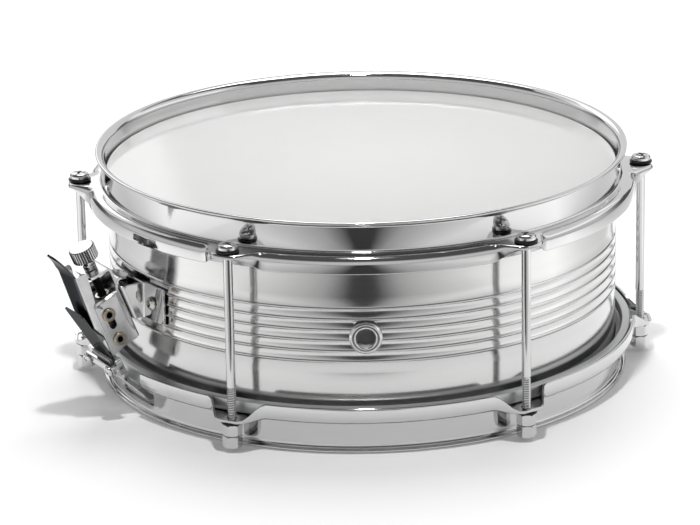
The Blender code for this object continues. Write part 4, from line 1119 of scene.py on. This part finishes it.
def hat_rows(low, high, web_low, web_high, half_width, foot):
    """Rows of points along a hat-shaped strip, from its lower edge to its upper one."""
    seat = FOOT_SEAT - CLEAR
    near = math.asin(half_width / seat)
    far = near + foot / seat
    steps = 8
    rows = []
    for step in range(steps + 1):
        share = step / steps
        web = web_low + (web_high - web_low) * share
        corners = [(seat * math.cos(a), -seat * math.sin(a), 0) for a in (far, (far + near) / 2)]
        corners += [(seat * math.cos(near), -half_width, 1.6), (web, -half_width, 2.4)]
        corners += [(x, -y, r) for x, y, r in reversed(corners)]
        path = fillet(corners, closed=False)
        rows.append([Vector((x, y, low + (high - low) * share)) for x, y in path])
    return rows


def web_radius(height):
    """Radius of the strainer bracket's web, which lies along the leaning channel's back."""
    rise = (height - STRAINER_FOOT[1]) * math.tan(LEAN)
    return STRAINER_FOOT[0] + rise - (PLATE + CLEAR) / math.cos(LEAN)


def brace_rows():
    """Rows along the strainer bracket's brace, which runs in level and ends in a round tab."""
    level = 16.8
    half = 8.0
    tab_round = 5.0
    foot = BRACKET_HIGH - 3
    path = fillet(
        [
            (web_radius(foot), foot, 0),
            (web_radius(level), level, 2.8),
            (SHELL_RADIUS + 8.5, level, 0),
        ],
        closed=False,
    )
    tip = path[-1][0]
    for reach in (tab_round, 3.4, 2.0, 1.0, 0.3):
        path.insert(-1, (tip + reach, level))
    rows = []
    for x, z in path:
        short = max(tab_round - (x - tip), 0)
        width = half - (tab_round - math.sqrt(tab_round**2 - short * short))
        rows.append([Vector((x, width * share, z)) for share in (-1, -0.5, 0, 0.5, 1)])
    return rows


def build_brackets():
    """The two brackets on the shell and the strainer bracket's brace."""
    webs = web_radius(BRACKET_LOW), web_radius(BRACKET_HIGH)
    hat = hat_rows(BRACKET_LOW, BRACKET_HIGH, *webs, half_width=11.0, foot=19.0)
    strainer = joined([grid_sheet(hat), grid_sheet(brace_rows())])
    hat = hat_rows(BUTT_LOW, BUTT_HIGH, BUTT_WEB, BUTT_WEB, half_width=18.0, foot=12.0)
    butt = grid_sheet(hat)
    for label, mesh, place in (("strainer", strainer, STRAINER_SIDE), ("butt", butt, BUTT_SIDE)):
        solid = f"{label}_bracket"
        obj = add_piece(f"{label}_hat", mesh, CHROME, place, "drum", [solid], "chrome")
        thicken(obj, PLATE)


def screw_mesh(head, rise, shank, length, nut=0.0):
    """A pan-head machine screw with a cross recess, head outward, and a nut near its end."""
    profile = fillet(
        [
            (0, rise, 0),
            (head * 0.62, rise, rise * 0.8),
            (head, rise * 0.35, 0.4),
            (head, 0, 0.1),
            (shank, 0, 0),
            (shank, -length, 0),
            (0, -length, 0),
        ],
        closed=False,
    )
    recess = cross_cutter(rise, arm=head * 1.1, width=head * 0.28, depth=rise * 0.7)
    body = carved(lathe(profile, 32), recess)
    if not nut:
        return body
    low = 0.4 - length
    return joined([body, slab(hexagon(7.0), low, low + nut)])


def build_foot_screws():
    """Four screws that hold the brackets, each with its nut inside the shell."""
    mesh = screw_mesh(head=4.0, rise=2.4, shank=2.0, length=7.2, nut=2.6)
    first_turn, next_turn = 0.5, 1.1
    for label, side, offset, height in (
        ("bracket", STRAINER_SIDE, 18.8, 1.5),
        ("butt", BUTT_SIDE, 25.0, -29.5),
    ):
        for i, way in enumerate((-1, 1)):
            turn = way * offset / SHELL_RADIUS
            place = side @ facing_out(on_circle(FOOT_SEAT, turn, height) * MM, turn)
            place = place @ Matrix.Rotation(first_turn + next_turn * i, 4, "Z")
            name = f"{label}_screw_{i + 1}"
            add_piece(f"{name}_pan", mesh, NICKEL, place, "drum", [name], "plated_steel")


def build_rivets():
    """Two rivets from the channel's back into the bracket."""
    outer, inner = CLEAR, -(2 * PLATE + 0.6)
    shank, head, crown, rise = 1.5, 2.7, 2.4, 0.9
    profile = fillet(
        [
            (0, outer + rise, 0),
            (crown, outer + rise, 0.8),
            (head, outer, 0.1),
            (shank, outer, 0),
            (shank, inner, 0),
            (head, inner, 0.1),
            (crown, inner - rise, 0.8),
            (0, inner - rise, 0),
        ],
        closed=False,
    )
    mesh = lathe(profile, 28)
    for i, height in enumerate((15.0, 28.0)):
        spot = Matrix.Translation((0, 0, height * MM))
        place = STRAINER @ spot @ Matrix.Rotation(QUARTER, 4, "Y")
        name = f"frame_rivet_{i + 1}"
        add_piece(f"{name}_head", mesh, BRASSY, place, "drum", [name], "plated_steel")


def pin_mesh():
    """A tubular pin across the channel, with a rolled head outside each cheek."""
    seat = CHANNEL_HALF + CLEAR
    top = seat + 1.1
    under = seat - 2.5
    end = fillet(
        [
            (0, under, 0),
            (1.5, under, 0),
            (1.7, top, 0.7),
            (4.0, top, 0.8),
            (PIN_HEAD - 0.1, seat, 0.1),
            (2.0, seat, 0),
        ],
        closed=False,
        steps=4,
    )
    return lathe(end + [(r, -z) for r, z in reversed(end)], 32)


def build_carriage():
    """The cast block that the screw draws along, its bush and its two tubular pins."""
    back, front, low, top = 1.8, 15.4, 2.2, 29.4
    half = LEVER_HALF - LEVER_SHEET - 0.6
    bore = 2.8
    side = fillet([(back, low, 0.6), (front, low, 2), (front, top, 2), (back, top, 0.6)])
    holes = [ring_of((PIN_OUT, up), 2.3) for up in (PIVOT_UP, GUIDE_UP)]
    block = slab(side, -half, half, holes, "XZ")
    drill = lathe([(0, -5), (bore, -5), (bore, 40), (0, 40)], 28)
    drill = moved(drill, Matrix.Translation((SCREW_OUT * MM, 0, 0)))
    obj = add_piece(
        "carriage_block", carved(block, [drill]), CAST_ZINC, STRAINER, "carriage",
        ["strainer_carriage"], "blackened_steel",
    )
    soften(obj, 0.5)
    inner, outer, rise = bore + 0.05, 4.6, top + 0.9
    section = [(inner, top, 0), (outer, top, 0), (outer, rise, 0.3), (inner, rise, 0.3)]
    bush = lathe(fillet(section), 32, closed=True)
    add_piece("carriage_bush", bush, NICKEL, SCREW_AXIS, "carriage", [], "plated_steel")
    pin = pin_mesh()
    for name, up in (("guide_pin", GUIDE_UP), ("pivot_pin", PIVOT_UP)):
        place = STRAINER @ Matrix.Translation(Vector((PIN_OUT, 0, up)) * MM)
        place = place @ Matrix.Rotation(QUARTER, 4, "X")
        add_piece(f"{name}_tube", pin, BRASSY, place, "carriage", [name], "plated_steel")


def knurled(radius, low, high, depth):
    """The side of a knob with straight knurling whose teeth run out at both ends.

    There are fewer teeth than on a real knob, so that each one shows.
    """
    teeth = 30
    ease = 0.5
    work = bmesh.new()
    rings = []
    for height, cut in ((low, ease), (low + ease, 0), (high - ease, 0), (high, ease)):
        ring = []
        for i in range(teeth * 2):
            groove = i % 2
            reach = radius - depth * groove - cut * (1 - 0.6 * groove)
            ring.append(work.verts.new(on_circle(reach, TURN * i / (teeth * 2), height)))
        rings.append(ring)
    for first, second in zip(rings, rings[1:]):
        bridge(work, first, second)
    work.faces.new(rings[-1])
    work.faces.new(rings[0])
    return finished(work, crisp=12)


def build_knob():
    """The knurled thumb knob, its stepped collar and its threaded rod, which turn together."""
    seat = CHANNEL_TOP + CLEAR
    low = seat + 6.6
    grip = knurled(KNOB_RADIUS, low, low + 8.4, KNURL_DEPTH)
    add_piece("knob_grip", grip, SATIN_CHROME, SCREW_AXIS, "knob", ["adjusting_knob"], "chrome")
    # The knurled sides take the chrome with painted shade in its grooves.
    grip.materials.append(KNURLED_GROOVE_SHADE)
    for face in grip.polygons:
        if abs(face.normal.z) < 0.9:
            face.material_index = 1
    neck, base = 3.3, 3.8
    collar = fillet(
        [
            (0, low, 0),
            (neck, low, 0),
            (neck, seat + 3.4, 0.3),
            (base, seat + 2.6, 0.3),
            (base, seat, 0.3),
            (0, seat, 0),
        ],
        closed=False,
    )
    add_piece("knob_collar", lathe(collar, 36), CHROME, SCREW_AXIS, "knob", [], "chrome")
    shank, core = 2.45, 2.1
    thread_top, thread_low = 43.5, 5.2
    rod = lathe(
        [
            (0, seat + 1),
            (shank, seat + 1),
            (shank, thread_top),
            (core, thread_top - 0.5),
            (core, thread_low),
            (core - 0.4, thread_low - 0.7),
            (0, thread_low - 0.7),
        ],
        28,
    )
    low, high = thread_low - 0.2, thread_top - 0.1
    rod = joined([rod, threaded(2.5, depth=0.4, pitch=0.8, low=low, high=high)])
    add_piece("adjusting_screw", rod, OXIDE, SCREW_AXIS, "knob", [], "blackened_steel")
    inner, outer, high = 2.6, 4.2, CHANNEL_TOP - PLATE - CLEAR
    under = high - 1
    section = [(inner, high), (outer, high), (outer, under), (inner, under)]
    clip = lathe(fillet([(r, z, 0.2) for r, z in section]), 32, closed=True)
    add_piece("screw_clip", clip, NICKEL, SCREW_AXIS, "knob", ["knob_clip"], "plated_steel")


def lever_front(height):
    """How far out the lever's web and tongue stand at a height."""
    run = (height - WEB_FOOT[1]) / (WEB_TOP[1] - WEB_FOOT[1])
    if run <= 1:
        return WEB_FOOT[0] + (WEB_TOP[0] - WEB_FOOT[0]) * run
    rise = (height - WEB_TOP[1]) / TONGUE_LENGTH
    curl = 4.9
    return WEB_TOP[0] + curl * (0.35 * rise + 0.65 * rise * rise)


def tongue_half(rise):
    """Half the tongue's width from its root at 0 to its round tip at 1."""
    tip = 4.6
    shoulder = LEVER_HALF - (LEVER_HALF - tip * 1.35) * smooth_step(rise, 0, 0.8)
    tip_share = 1 - tip / TONGUE_LENGTH
    if rise <= tip_share:
        return shoulder
    round_off = (rise - tip_share) / (1 - tip_share)
    return shoulder * math.sqrt(max(1 - round_off * round_off, 0.0))


def build_lever():
    """The throw-off lever: one blank with two cheeks folded back and a finger tongue on top."""
    bend = 1.8
    back, mouth, waist = 19.1, 15.0, 15.6
    eye = 4.7
    across = fillet(
        [
            (LEVER_CHEEK, -LEVER_HALF, 0),
            (0, -LEVER_HALF, bend),
            (0, LEVER_HALF, bend),
            (LEVER_CHEEK, LEVER_HALF, 0),
        ],
        closed=False,
    )
    half = distances(across)[-1] / 2
    corner = half - LEVER_CHEEK
    web_top = WEB_TOP[1]

    def place(t, s):
        side = along(across, t + half)
        side = side.lerp(Vector((0, t)), smooth_step(s, web_top, web_top + 2))
        return Vector((lever_front(s) - side.x, side.y, s))

    def behind(out, up, radius):
        return (corner + lever_front(up) - out, up, radius)

    right = [
        (corner + 0.9, WEB_FOOT[1], 1.2),
        behind(back, 12.0, 2.0),
        behind(back, STRIP_FOOT, 0.8),
        behind(mouth, STRIP_FOOT, 0.8),
        behind(PIN_OUT - 5.2, PIVOT_UP - eye, 4.0),
        behind(PIN_OUT - 5.2, PIVOT_UP + eye, 4.0),
        behind(waist, PIVOT_UP + 8.3, 3.0),
        behind(waist, CHEEK_TOP, 0),
        behind(12.8, web_top, 2.5),
        (LEVER_HALF, web_top, 0),
    ]
    steps = 24
    for step in range(1, steps):
        rise = 1 - (1 - step / steps) ** 1.5
        right.append((tongue_half(rise), web_top + TONGUE_LENGTH * rise, 0))
    tip = [(0, web_top + TONGUE_LENGTH, 0)]
    left = [(-t, s, r) for t, s, r in reversed(right)]
    blank = fillet(right + tip + left)
    hole = lever_front(PIVOT_UP) - PIN_OUT + corner
    holes = [ring_of((side * hole, PIVOT_UP), 2.2) for side in (-1, 1)]
    cuts = [mark - half for mark in distances(across)[1:-1]]
    levels = [WEB_FOOT[1], CHEEK_TOP, web_top, web_top + 1, web_top + 2]
    levels += [web_top + TONGUE_LENGTH * share for share in (0.3, 0.45, 0.6, 0.75, 0.9)]
    mesh = bent_sheet(blank, holes, place, cuts, levels)
    obj = add_piece(
        "throw_lever", mesh, SATIN_CHROME, STRAINER, "lever", ["strainer_lever"], "chrome"
    )
    # The outer faces of the web and tongue take the chrome painted with a dark reflection.
    mesh.materials.append(CHROME_PAINTED_DARK)
    for face in mesh.polygons:
        if face.center.x > (lever_front(face.center.z / MM) - 1) * MM:
            face.material_index = 1
    thicken(obj, LEVER_SHEET)


def jaw_mesh(back, front, low, top, half):
    """A jaw with rounded corners and two screw holes."""
    corner = 1.4
    outline = [(half, low), (half, top), (-half, top), (-half, low)]
    outline = fillet([(y, z, corner) for y, z in outline])
    middle = (low + top) / 2
    holes = [ring_of((side * CLAMP_SPACING / 2, middle), 2.1) for side in (-1, 1)]
    return slab(outline, back, front, holes, "YZ")


def add_clamp_bar(piece, solid, screw, place, body, back, height, half, anchor):
    """A clamp bar and the two screws that draw it in. They reach back as far as anchor."""
    bar_half, sheet = 3, 2.6
    bar = jaw_mesh(back, back + sheet, height - bar_half, height + bar_half, half)
    obj = add_piece(piece, bar, CHROME, place, body, [solid], "chrome")
    soften(obj, 0.6)
    seat = back + sheet + CLEAR
    mesh = screw_mesh(head=3.5, rise=2.2, shank=1.9, length=seat - anchor)
    for i, side in enumerate((-1, 1)):
        spot = Vector((seat, side * CLAMP_SPACING / 2, height)) * MM
        name = f"{screw}_{i + 1}"
        add_piece(
            f"{name}_pan", mesh, CHROME, place @ facing_out(spot), body, [name], "chrome"
        )


def build_plate_and_clamp():
    """The release plate, the clamp block and bar that hold the strap, and their screws."""
    foot_out, half = 20.9, 11.2
    rise, run = 32.5, 6.0
    length = math.hypot(rise, run)
    outline = fillet([(half, 0, 0), (half, length, 1.8), (-half, length, 1.8), (-half, 0, 0)])
    place = STRAINER @ Matrix.Translation(Vector((foot_out, 0, STRIP_FOOT)) * MM)
    place = place @ Matrix.Rotation(math.atan2(run, rise), 4, "Y")
    mesh = slab(outline, -LEVER_SHEET, 0, plane="YZ")
    # The release plate takes the chrome painted with a dark reflection.
    obj = add_piece(
        "thumb_plate", mesh, CHROME_PAINTED_DARK, place, "lever", ["release_plate"], "chrome"
    )
    soften(obj, 0.25)
    front = CLAMP_BACK + CLAMP_DEPTH
    block = jaw_mesh(CLAMP_BACK, front, CLAMP_LOW, CLAMP_TOP, half=18.0)
    obj = add_piece("clamp_jaw", block, CHROME, STRAINER, "lever", ["clamp_block"], "chrome")
    soften(obj, 0.4)
    add_clamp_bar(
        "clamp_strip", "clamp_bar", "lever_clamp_screw", STRAINER, "lever",
        back=front + CLAMP_GAP, height=CLAMP_MIDDLE, half=17.0, anchor=CLAMP_BACK + 0.5,
    )


def build_butt_clamp():
    """The clamp on the butt bracket."""
    add_clamp_bar(
        "butt_strip", "butt_clamp_bar", "butt_clamp_screw", BUTT_SIDE, "drum",
        back=BUTT_WEB + CLAMP_GAP, height=-32.5, half=16.25, anchor=BUTT_WEB - PLATE - 1.5,
    )


# Snares

STRAP_LEVEL = WIRES_LOW - 2 * CLEAR
STRAP_HALF = 10
STRAP_SHEET = 0.56
WIRE_SPAN = 2 * (SHELL_RADIUS - 25.5)


def wire_strand(coil, gauge, level):
    """One coiled wire, from the radii of its coil and of the wire itself."""
    turn_spacing = 1.5
    turns = int(WIRE_SPAN / turn_spacing)
    steps = 9
    work = bmesh.new()
    rows = []
    for k in range(turns * steps + 1):
        angle = TURN * k / steps
        outward = Vector((0, math.cos(angle), math.sin(angle)))
        middle = Vector((-WIRE_SPAN / 2 + WIRE_SPAN * k / (turns * steps), 0, level))
        middle += outward * (coil - gauge)
        row = []
        for corner in range(4):
            turn = QUARTER * corner
            side = outward * math.cos(turn) + Vector((math.sin(turn), 0, 0))
            row.append(work.verts.new(middle + gauge * side))
        rows.append(row)
    for first, second in zip(rows, rows[1:]):
        bridge(work, first, second)
    return finished(work, crisp=180)


def build_wires():
    """Ten coiled snare wires, soldered to a plate at each end."""
    pitch, strands, coil = 2.8, 10, 1.0
    plate_length, plate_sheet, bite, corner = 13, 1.2, 3, 2
    half = WIRE_SPAN / 2
    width = pitch * (strands - 1) / 2 + coil + 2
    strand = wire_strand(coil, gauge=0.24, level=-(FILM_TOP + CLEAR + coil))
    meshes = []
    for i in range(strands):
        offset = (i - (strands - 1) / 2) * pitch
        meshes.append(moved(strand.copy(), Matrix.Translation((0, offset * MM, 0))))
    for side in (-1, 1):
        near, far = sorted((side * (half - bite), side * (half + plate_length)))
        outline = [(near, -width), (far, -width), (far, width), (near, width)]
        outline = fillet([(x, y, corner) for x, y in outline])
        meshes.append(slab(outline, WIRES_LOW, WIRES_LOW + plate_sheet))
    add_piece("coiled_snares", joined(meshes), WIRE, DRUM, "drum", ["snare_wires"], "plated_steel")


def leaning(out, up):
    """Radius and height in the drum's frame of a place in the strainer's frame."""
    radius = STRAINER_FOOT[0] + out * math.cos(LEAN) + up * math.sin(LEAN)
    return radius, STRAINER_FOOT[1] + up * math.cos(LEAN) - out * math.sin(LEAN)


def strap_mesh(corners):
    """A flat strip that follows (x, z) corners, given with radii, and is wide along Y."""
    path = [Vector(point) for point in fillet(corners, closed=False)]
    rings = []
    for i, point in enumerate(path):
        run = (path[min(i + 1, len(path) - 1)] - path[max(i - 1, 0)]).normalized()
        side = Vector((-run.y, run.x)) * STRAP_SHEET / 2
        ring = []
        for across, way in ((-1, 1), (1, 1), (1, -1), (-1, -1)):
            spot = point + side * way
            ring.append((spot.x, across * STRAP_HALF, spot.y))
        rings.append(ring)
    return loft(rings)


def build_straps():
    """Both straps, from the wires' end plates through the gates up to the clamps.

    The strainer's strap is two strips that meet in front of the gate: one runs from there
    through the gate to the wires' end plate, and the other from the lever's clamp down to there.
    """
    inner = WIRE_SPAN / 2 + 4
    gate = WALL_IN - 0.4
    jaw = CLAMP_BACK + CLAMP_DEPTH + CLAMP_GAP / 2
    top = leaning(jaw, STRIP_FOOT - 1.5)
    below = leaning(jaw, CLAMP_LOW - 0.5)
    end = [
        (gate + 3.4, STRAP_LEVEL + 4.4, 3),
        (gate + 0.4, STRAP_LEVEL, 1.6),
        (inner, STRAP_LEVEL, 0),
    ]
    seam = tuple((a + b) / 2 for a, b in zip(below, end[0]))

    def spot(x, z):
        return DRUM @ (Vector((-x, 0, z)) * MM)

    mesh = strap_mesh([(-x, z, r) for x, z, r in [(*seam, 0), *end]])
    strap = add_piece(
        "strainer_film_strap", mesh, STRAP, DRUM, None, ["strainer_strap"], "strap_film"
    )
    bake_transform(strap)
    mesh = strap_mesh([(-x, z, r) for x, z, r in [(*top, 0), (*below, 3), (*seam, 0)]])
    strap = add_piece("strap_tail", mesh, STRAP, DRUM, None, [], "strap_film")
    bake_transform(strap)
    web = BUTT_WEB + CLAMP_GAP / 2
    mesh = strap_mesh([(web, -23.5, 0), (web, -LEDGE_HEIGHT - 0.5, 3), *end])
    add_piece("butt_film_strap", mesh, STRAP, DRUM, "drum", ["butt_strap"], "strap_film")


build_shell()
build_heads()
build_hoops()
build_rods()
build_vent()
build_channel()
build_brackets()
build_foot_screws()
build_rivets()
build_carriage()
build_knob()
build_lever()
build_plate_and_clamp()
build_butt_clamp()
build_wires()
build_straps()


# Light, floor and camera

VIEW_ANGLE = math.radians(-120.5)
TOWARDS_VIEWER = on_circle(1, VIEW_ANGLE)
ACROSS_VIEW = Vector((-TOWARDS_VIEWER.y, TOWARDS_VIEWER.x, 0))
SQUARE_TO_VIEW = Matrix.Rotation(VIEW_ANGLE - QUARTER, 4, "Z")
FOOT = Vector((DRUM_MIDDLE.x, DRUM_MIDDLE.y, 0))
ON_TABLE = Vector((0, 0, 0.001))


def rectangle(width, height):
    """A flat sheet in metres, centred in its own XY plane."""
    mesh = bpy.data.meshes.new("sheet")
    x, y = width / 2, height / 2
    mesh.from_pydata([(-x, -y, 0), (x, -y, 0), (x, y, 0), (-x, y, 0)], [], [(0, 1, 2, 3)])
    return mesh


def add_stage(name, mesh, material, place):
    """A floor, card or backdrop that isn't part of the drum."""
    obj = bpy.data.objects.new(name, mesh)
    bpy.context.scene.collection.objects.link(obj)
    obj.matrix_world = place
    mesh.materials.append(material)
    return obj


def add_card(name, width, length, material, middle):
    """Paper outside the photograph's frame. Only the metal mirrors it: the table stays plain."""
    place = Matrix.Translation(middle + ON_TABLE) @ SQUARE_TO_VIEW
    card = add_stage(name, rectangle(width, length), material, place)
    card.visible_camera = card.visible_diffuse = card.visible_shadow = False


def around(degrees, distance, height):
    """A place round the drum in metres, by its angle from the viewer's side."""
    return FOOT + on_circle(distance, VIEW_ANGLE + math.radians(degrees), height)


def add_lamp(name, place, target, width, height, watts):
    """A soft box."""
    data = bpy.data.lights.new(name, "AREA")
    data.shape = "RECTANGLE"
    data.size, data.size_y = width, height
    data.energy = watts
    obj = bpy.data.objects.new(name, data)
    bpy.context.scene.collection.objects.link(obj)
    aim = (target - place).to_track_quat("-Z", "Y")
    obj.matrix_world = Matrix.Translation(place) @ aim.to_matrix().to_4x4()


def white_table():
    """Matt white table top, seen through from below so that the drum's underside shows."""
    material, tree, shader = new_material(
        "white_table", Base_Color=rgb("#f6f6f6"), Roughness=1.0, Specular_IOR_Level=0.0,
        Emission_Color=rgb("#ffffff"), Emission_Strength=0.06,
    )
    side = node(tree, "ShaderNodeNewGeometry")
    clear = node(tree, "ShaderNodeBsdfTransparent")
    top = node(
        tree, "ShaderNodeMixShader",
        [(0, side.outputs["Backfacing"]), (1, shader.outputs[0]), (2, clear.outputs[0])],
    )
    tree.links.new(top.outputs[0], tree.nodes["Material Output"].inputs["Surface"])
    return material


def shaded_paper():
    """Matt paper before the drum: dark in the middle and white towards its sides.

    Polished steel mirrors it as the dark band down the middle of the shell and the hoops.
    """
    material, tree, shader = new_material("shaded_paper", Roughness=1.0, Specular_IOR_Level=0.0)
    half_width = 0.4
    place = node(tree, "ShaderNodeTexCoord")
    split = node(tree, "ShaderNodeSeparateXYZ", [("Vector", place.outputs["Object"])])
    aside = node(tree, "ShaderNodeMath", [(0, split.outputs[0])], operation="ABSOLUTE")
    share = node(
        tree, "ShaderNodeMath", [(0, aside.outputs[0])], operation="DIVIDE", i1=half_width
    )
    shades = (
        (0.09, "#444444"), (0.14, "#747474"), (0.28, "#b8b8b8"), (0.6, "#e4e4e4"),
        (0.85, "#ffffff"),
    )
    ramp = node(tree, "ShaderNodeValToRGB", [("Fac", share.outputs[0])], shades)
    tree.links.new(ramp.outputs[0], shader.inputs["Base Color"])
    return material


def glowing_paper(length):
    """Matt paper beside the drum: grey at its far end and glowing towards the viewer in soft
    steps, a glow of painted light.
    """
    material, tree, shader = new_material(
        "glowing_paper", Roughness=1.0, Specular_IOR_Level=0.0, Emission_Strength=0.4
    )
    steps = (0.0, 0.46, 0.57, 0.7, 1.0)
    place = node(tree, "ShaderNodeTexCoord")
    split = node(tree, "ShaderNodeSeparateXYZ", [("Vector", place.outputs["Object"])])
    share = node(
        tree, "ShaderNodeMath", [(0, split.outputs[1])], operation="ADD", i1=length / 2
    )
    # The emission ramp is painted light: the paper glows though it is no lamp, most towards the
    # viewer's end.
    for socket, codes in (
        ("Base Color", ("#d6d6d6", "#dadada", "#e8e8e8", "#fafafa", "#fafafa")),
        ("Emission Color", ("#000000", "#000000", "#8a8a8a", "#ffffff", "#8a8a8a")),
    ):
        shades = tuple(zip(steps, codes))
        ramp = node(tree, "ShaderNodeValToRGB", [("Fac", share.outputs[0])], shades)
        tree.links.new(ramp.outputs[0], shader.inputs[socket])
    return material


def build_studio():
    """A white table between soft boxes, with papers on it that the metal mirrors."""
    add_stage("floor", rectangle(6, 6), white_table(), Matrix.Translation(FOOT))
    near, length = 0.276, 1.5
    middle = FOOT + TOWARDS_VIEWER * (near + length / 2)
    add_card("front_paper", 2.4, length, shaded_paper(), middle)
    drum_foot = FOOT + Vector((0, 0, 0.1))
    for name, degrees, distance, height, width, tall, watts in (
        ("right_box", 105, 1.05, 0.85, 1.6, 0.8, 3.0),
        ("left_box", -148, 1.05, 0.8, 1.1, 0.8, 2.0),
        ("back_box", 180, 1.6, 0.75, 2.6, 1.2, 7.5),
        ("front_spot", 0, 0.45, 1.6, 0.1, 0.1, 11),
        ("back_spot", 180, 0.6, 1.5, 0.9, 0.9, 12.5),
    ):
        place = around(degrees, distance, height)
        add_lamp(name, place, drum_foot, width, tall, watts)
    width, length = 0.7, 1.0
    aside, back = 0.3 + width / 2, 0.12
    paper = glowing_paper(length)
    for side in (-1, 1):
        middle = FOOT + ACROSS_VIEW * side * aside - TOWARDS_VIEWER * back
        add_card(f"side_paper_{side + 2}", width, length, paper, middle)


def build_world():
    """A studio that is bright round the table up to eye level, and dim overhead and behind."""
    bright, dim = "#dedede", "#5a5a5a"
    world = bpy.data.worlds.new("room")
    bpy.context.scene.world = world
    world.use_nodes = True
    tree = world.node_tree
    tree.nodes.clear()
    way = node(tree, "ShaderNodeTexCoord").outputs["Generated"]
    front = node(
        tree, "ShaderNodeVectorMath", [(0, way)], operation="DOT_PRODUCT", i1=TOWARDS_VIEWER
    )
    share = node(
        tree, "ShaderNodeMapRange", [("Value", front.outputs["Value"])],
        From_Min=-0.75, From_Max=-0.35, interpolation_type="SMOOTHSTEP",
    )
    split = node(tree, "ShaderNodeSeparateXYZ", [("Vector", way)])
    levels = ((0.38, bright), (0.6, dim))
    ramp = node(tree, "ShaderNodeValToRGB", [("Fac", split.outputs[2])], levels)
    mix = node(
        tree, "ShaderNodeMix", [(0, share.outputs[0]), (7, ramp.outputs[0])],
        data_type="RGBA", i6=rgb(dim),
    )
    room = node(tree, "ShaderNodeBackground", [("Color", mix.outputs[2])])
    node(tree, "ShaderNodeOutputWorld", [("Surface", room.outputs[0])])


def build_camera():
    """The camera, solved from the drum's ellipses and uprights in the photograph."""
    rise = math.radians(18.267)
    roll = math.radians(0.934)
    distance = 2.2733
    data = bpy.data.cameras.new("camera")
    data.sensor_width = 36
    data.lens = 194.47
    data.shift_x = -0.0181
    data.shift_y = -0.016016
    data.clip_start = 0.1
    data.clip_end = 20
    camera = bpy.data.objects.new("camera", data)
    bpy.context.scene.collection.objects.link(camera)
    back = on_circle(math.cos(rise), VIEW_ANGLE, math.sin(rise))
    camera.location = DRUM_MIDDLE + back * distance
    camera.rotation_mode = "QUATERNION"
    level = back.to_track_quat("Z", "Y")
    camera.rotation_quaternion = level @ Euler((0, 0, -roll)).to_quaternion()
    bpy.context.scene.camera = camera


build_studio()
build_world()
build_camera()
bpy.context.scene.view_settings.view_transform = "Standard"

note_bounds()
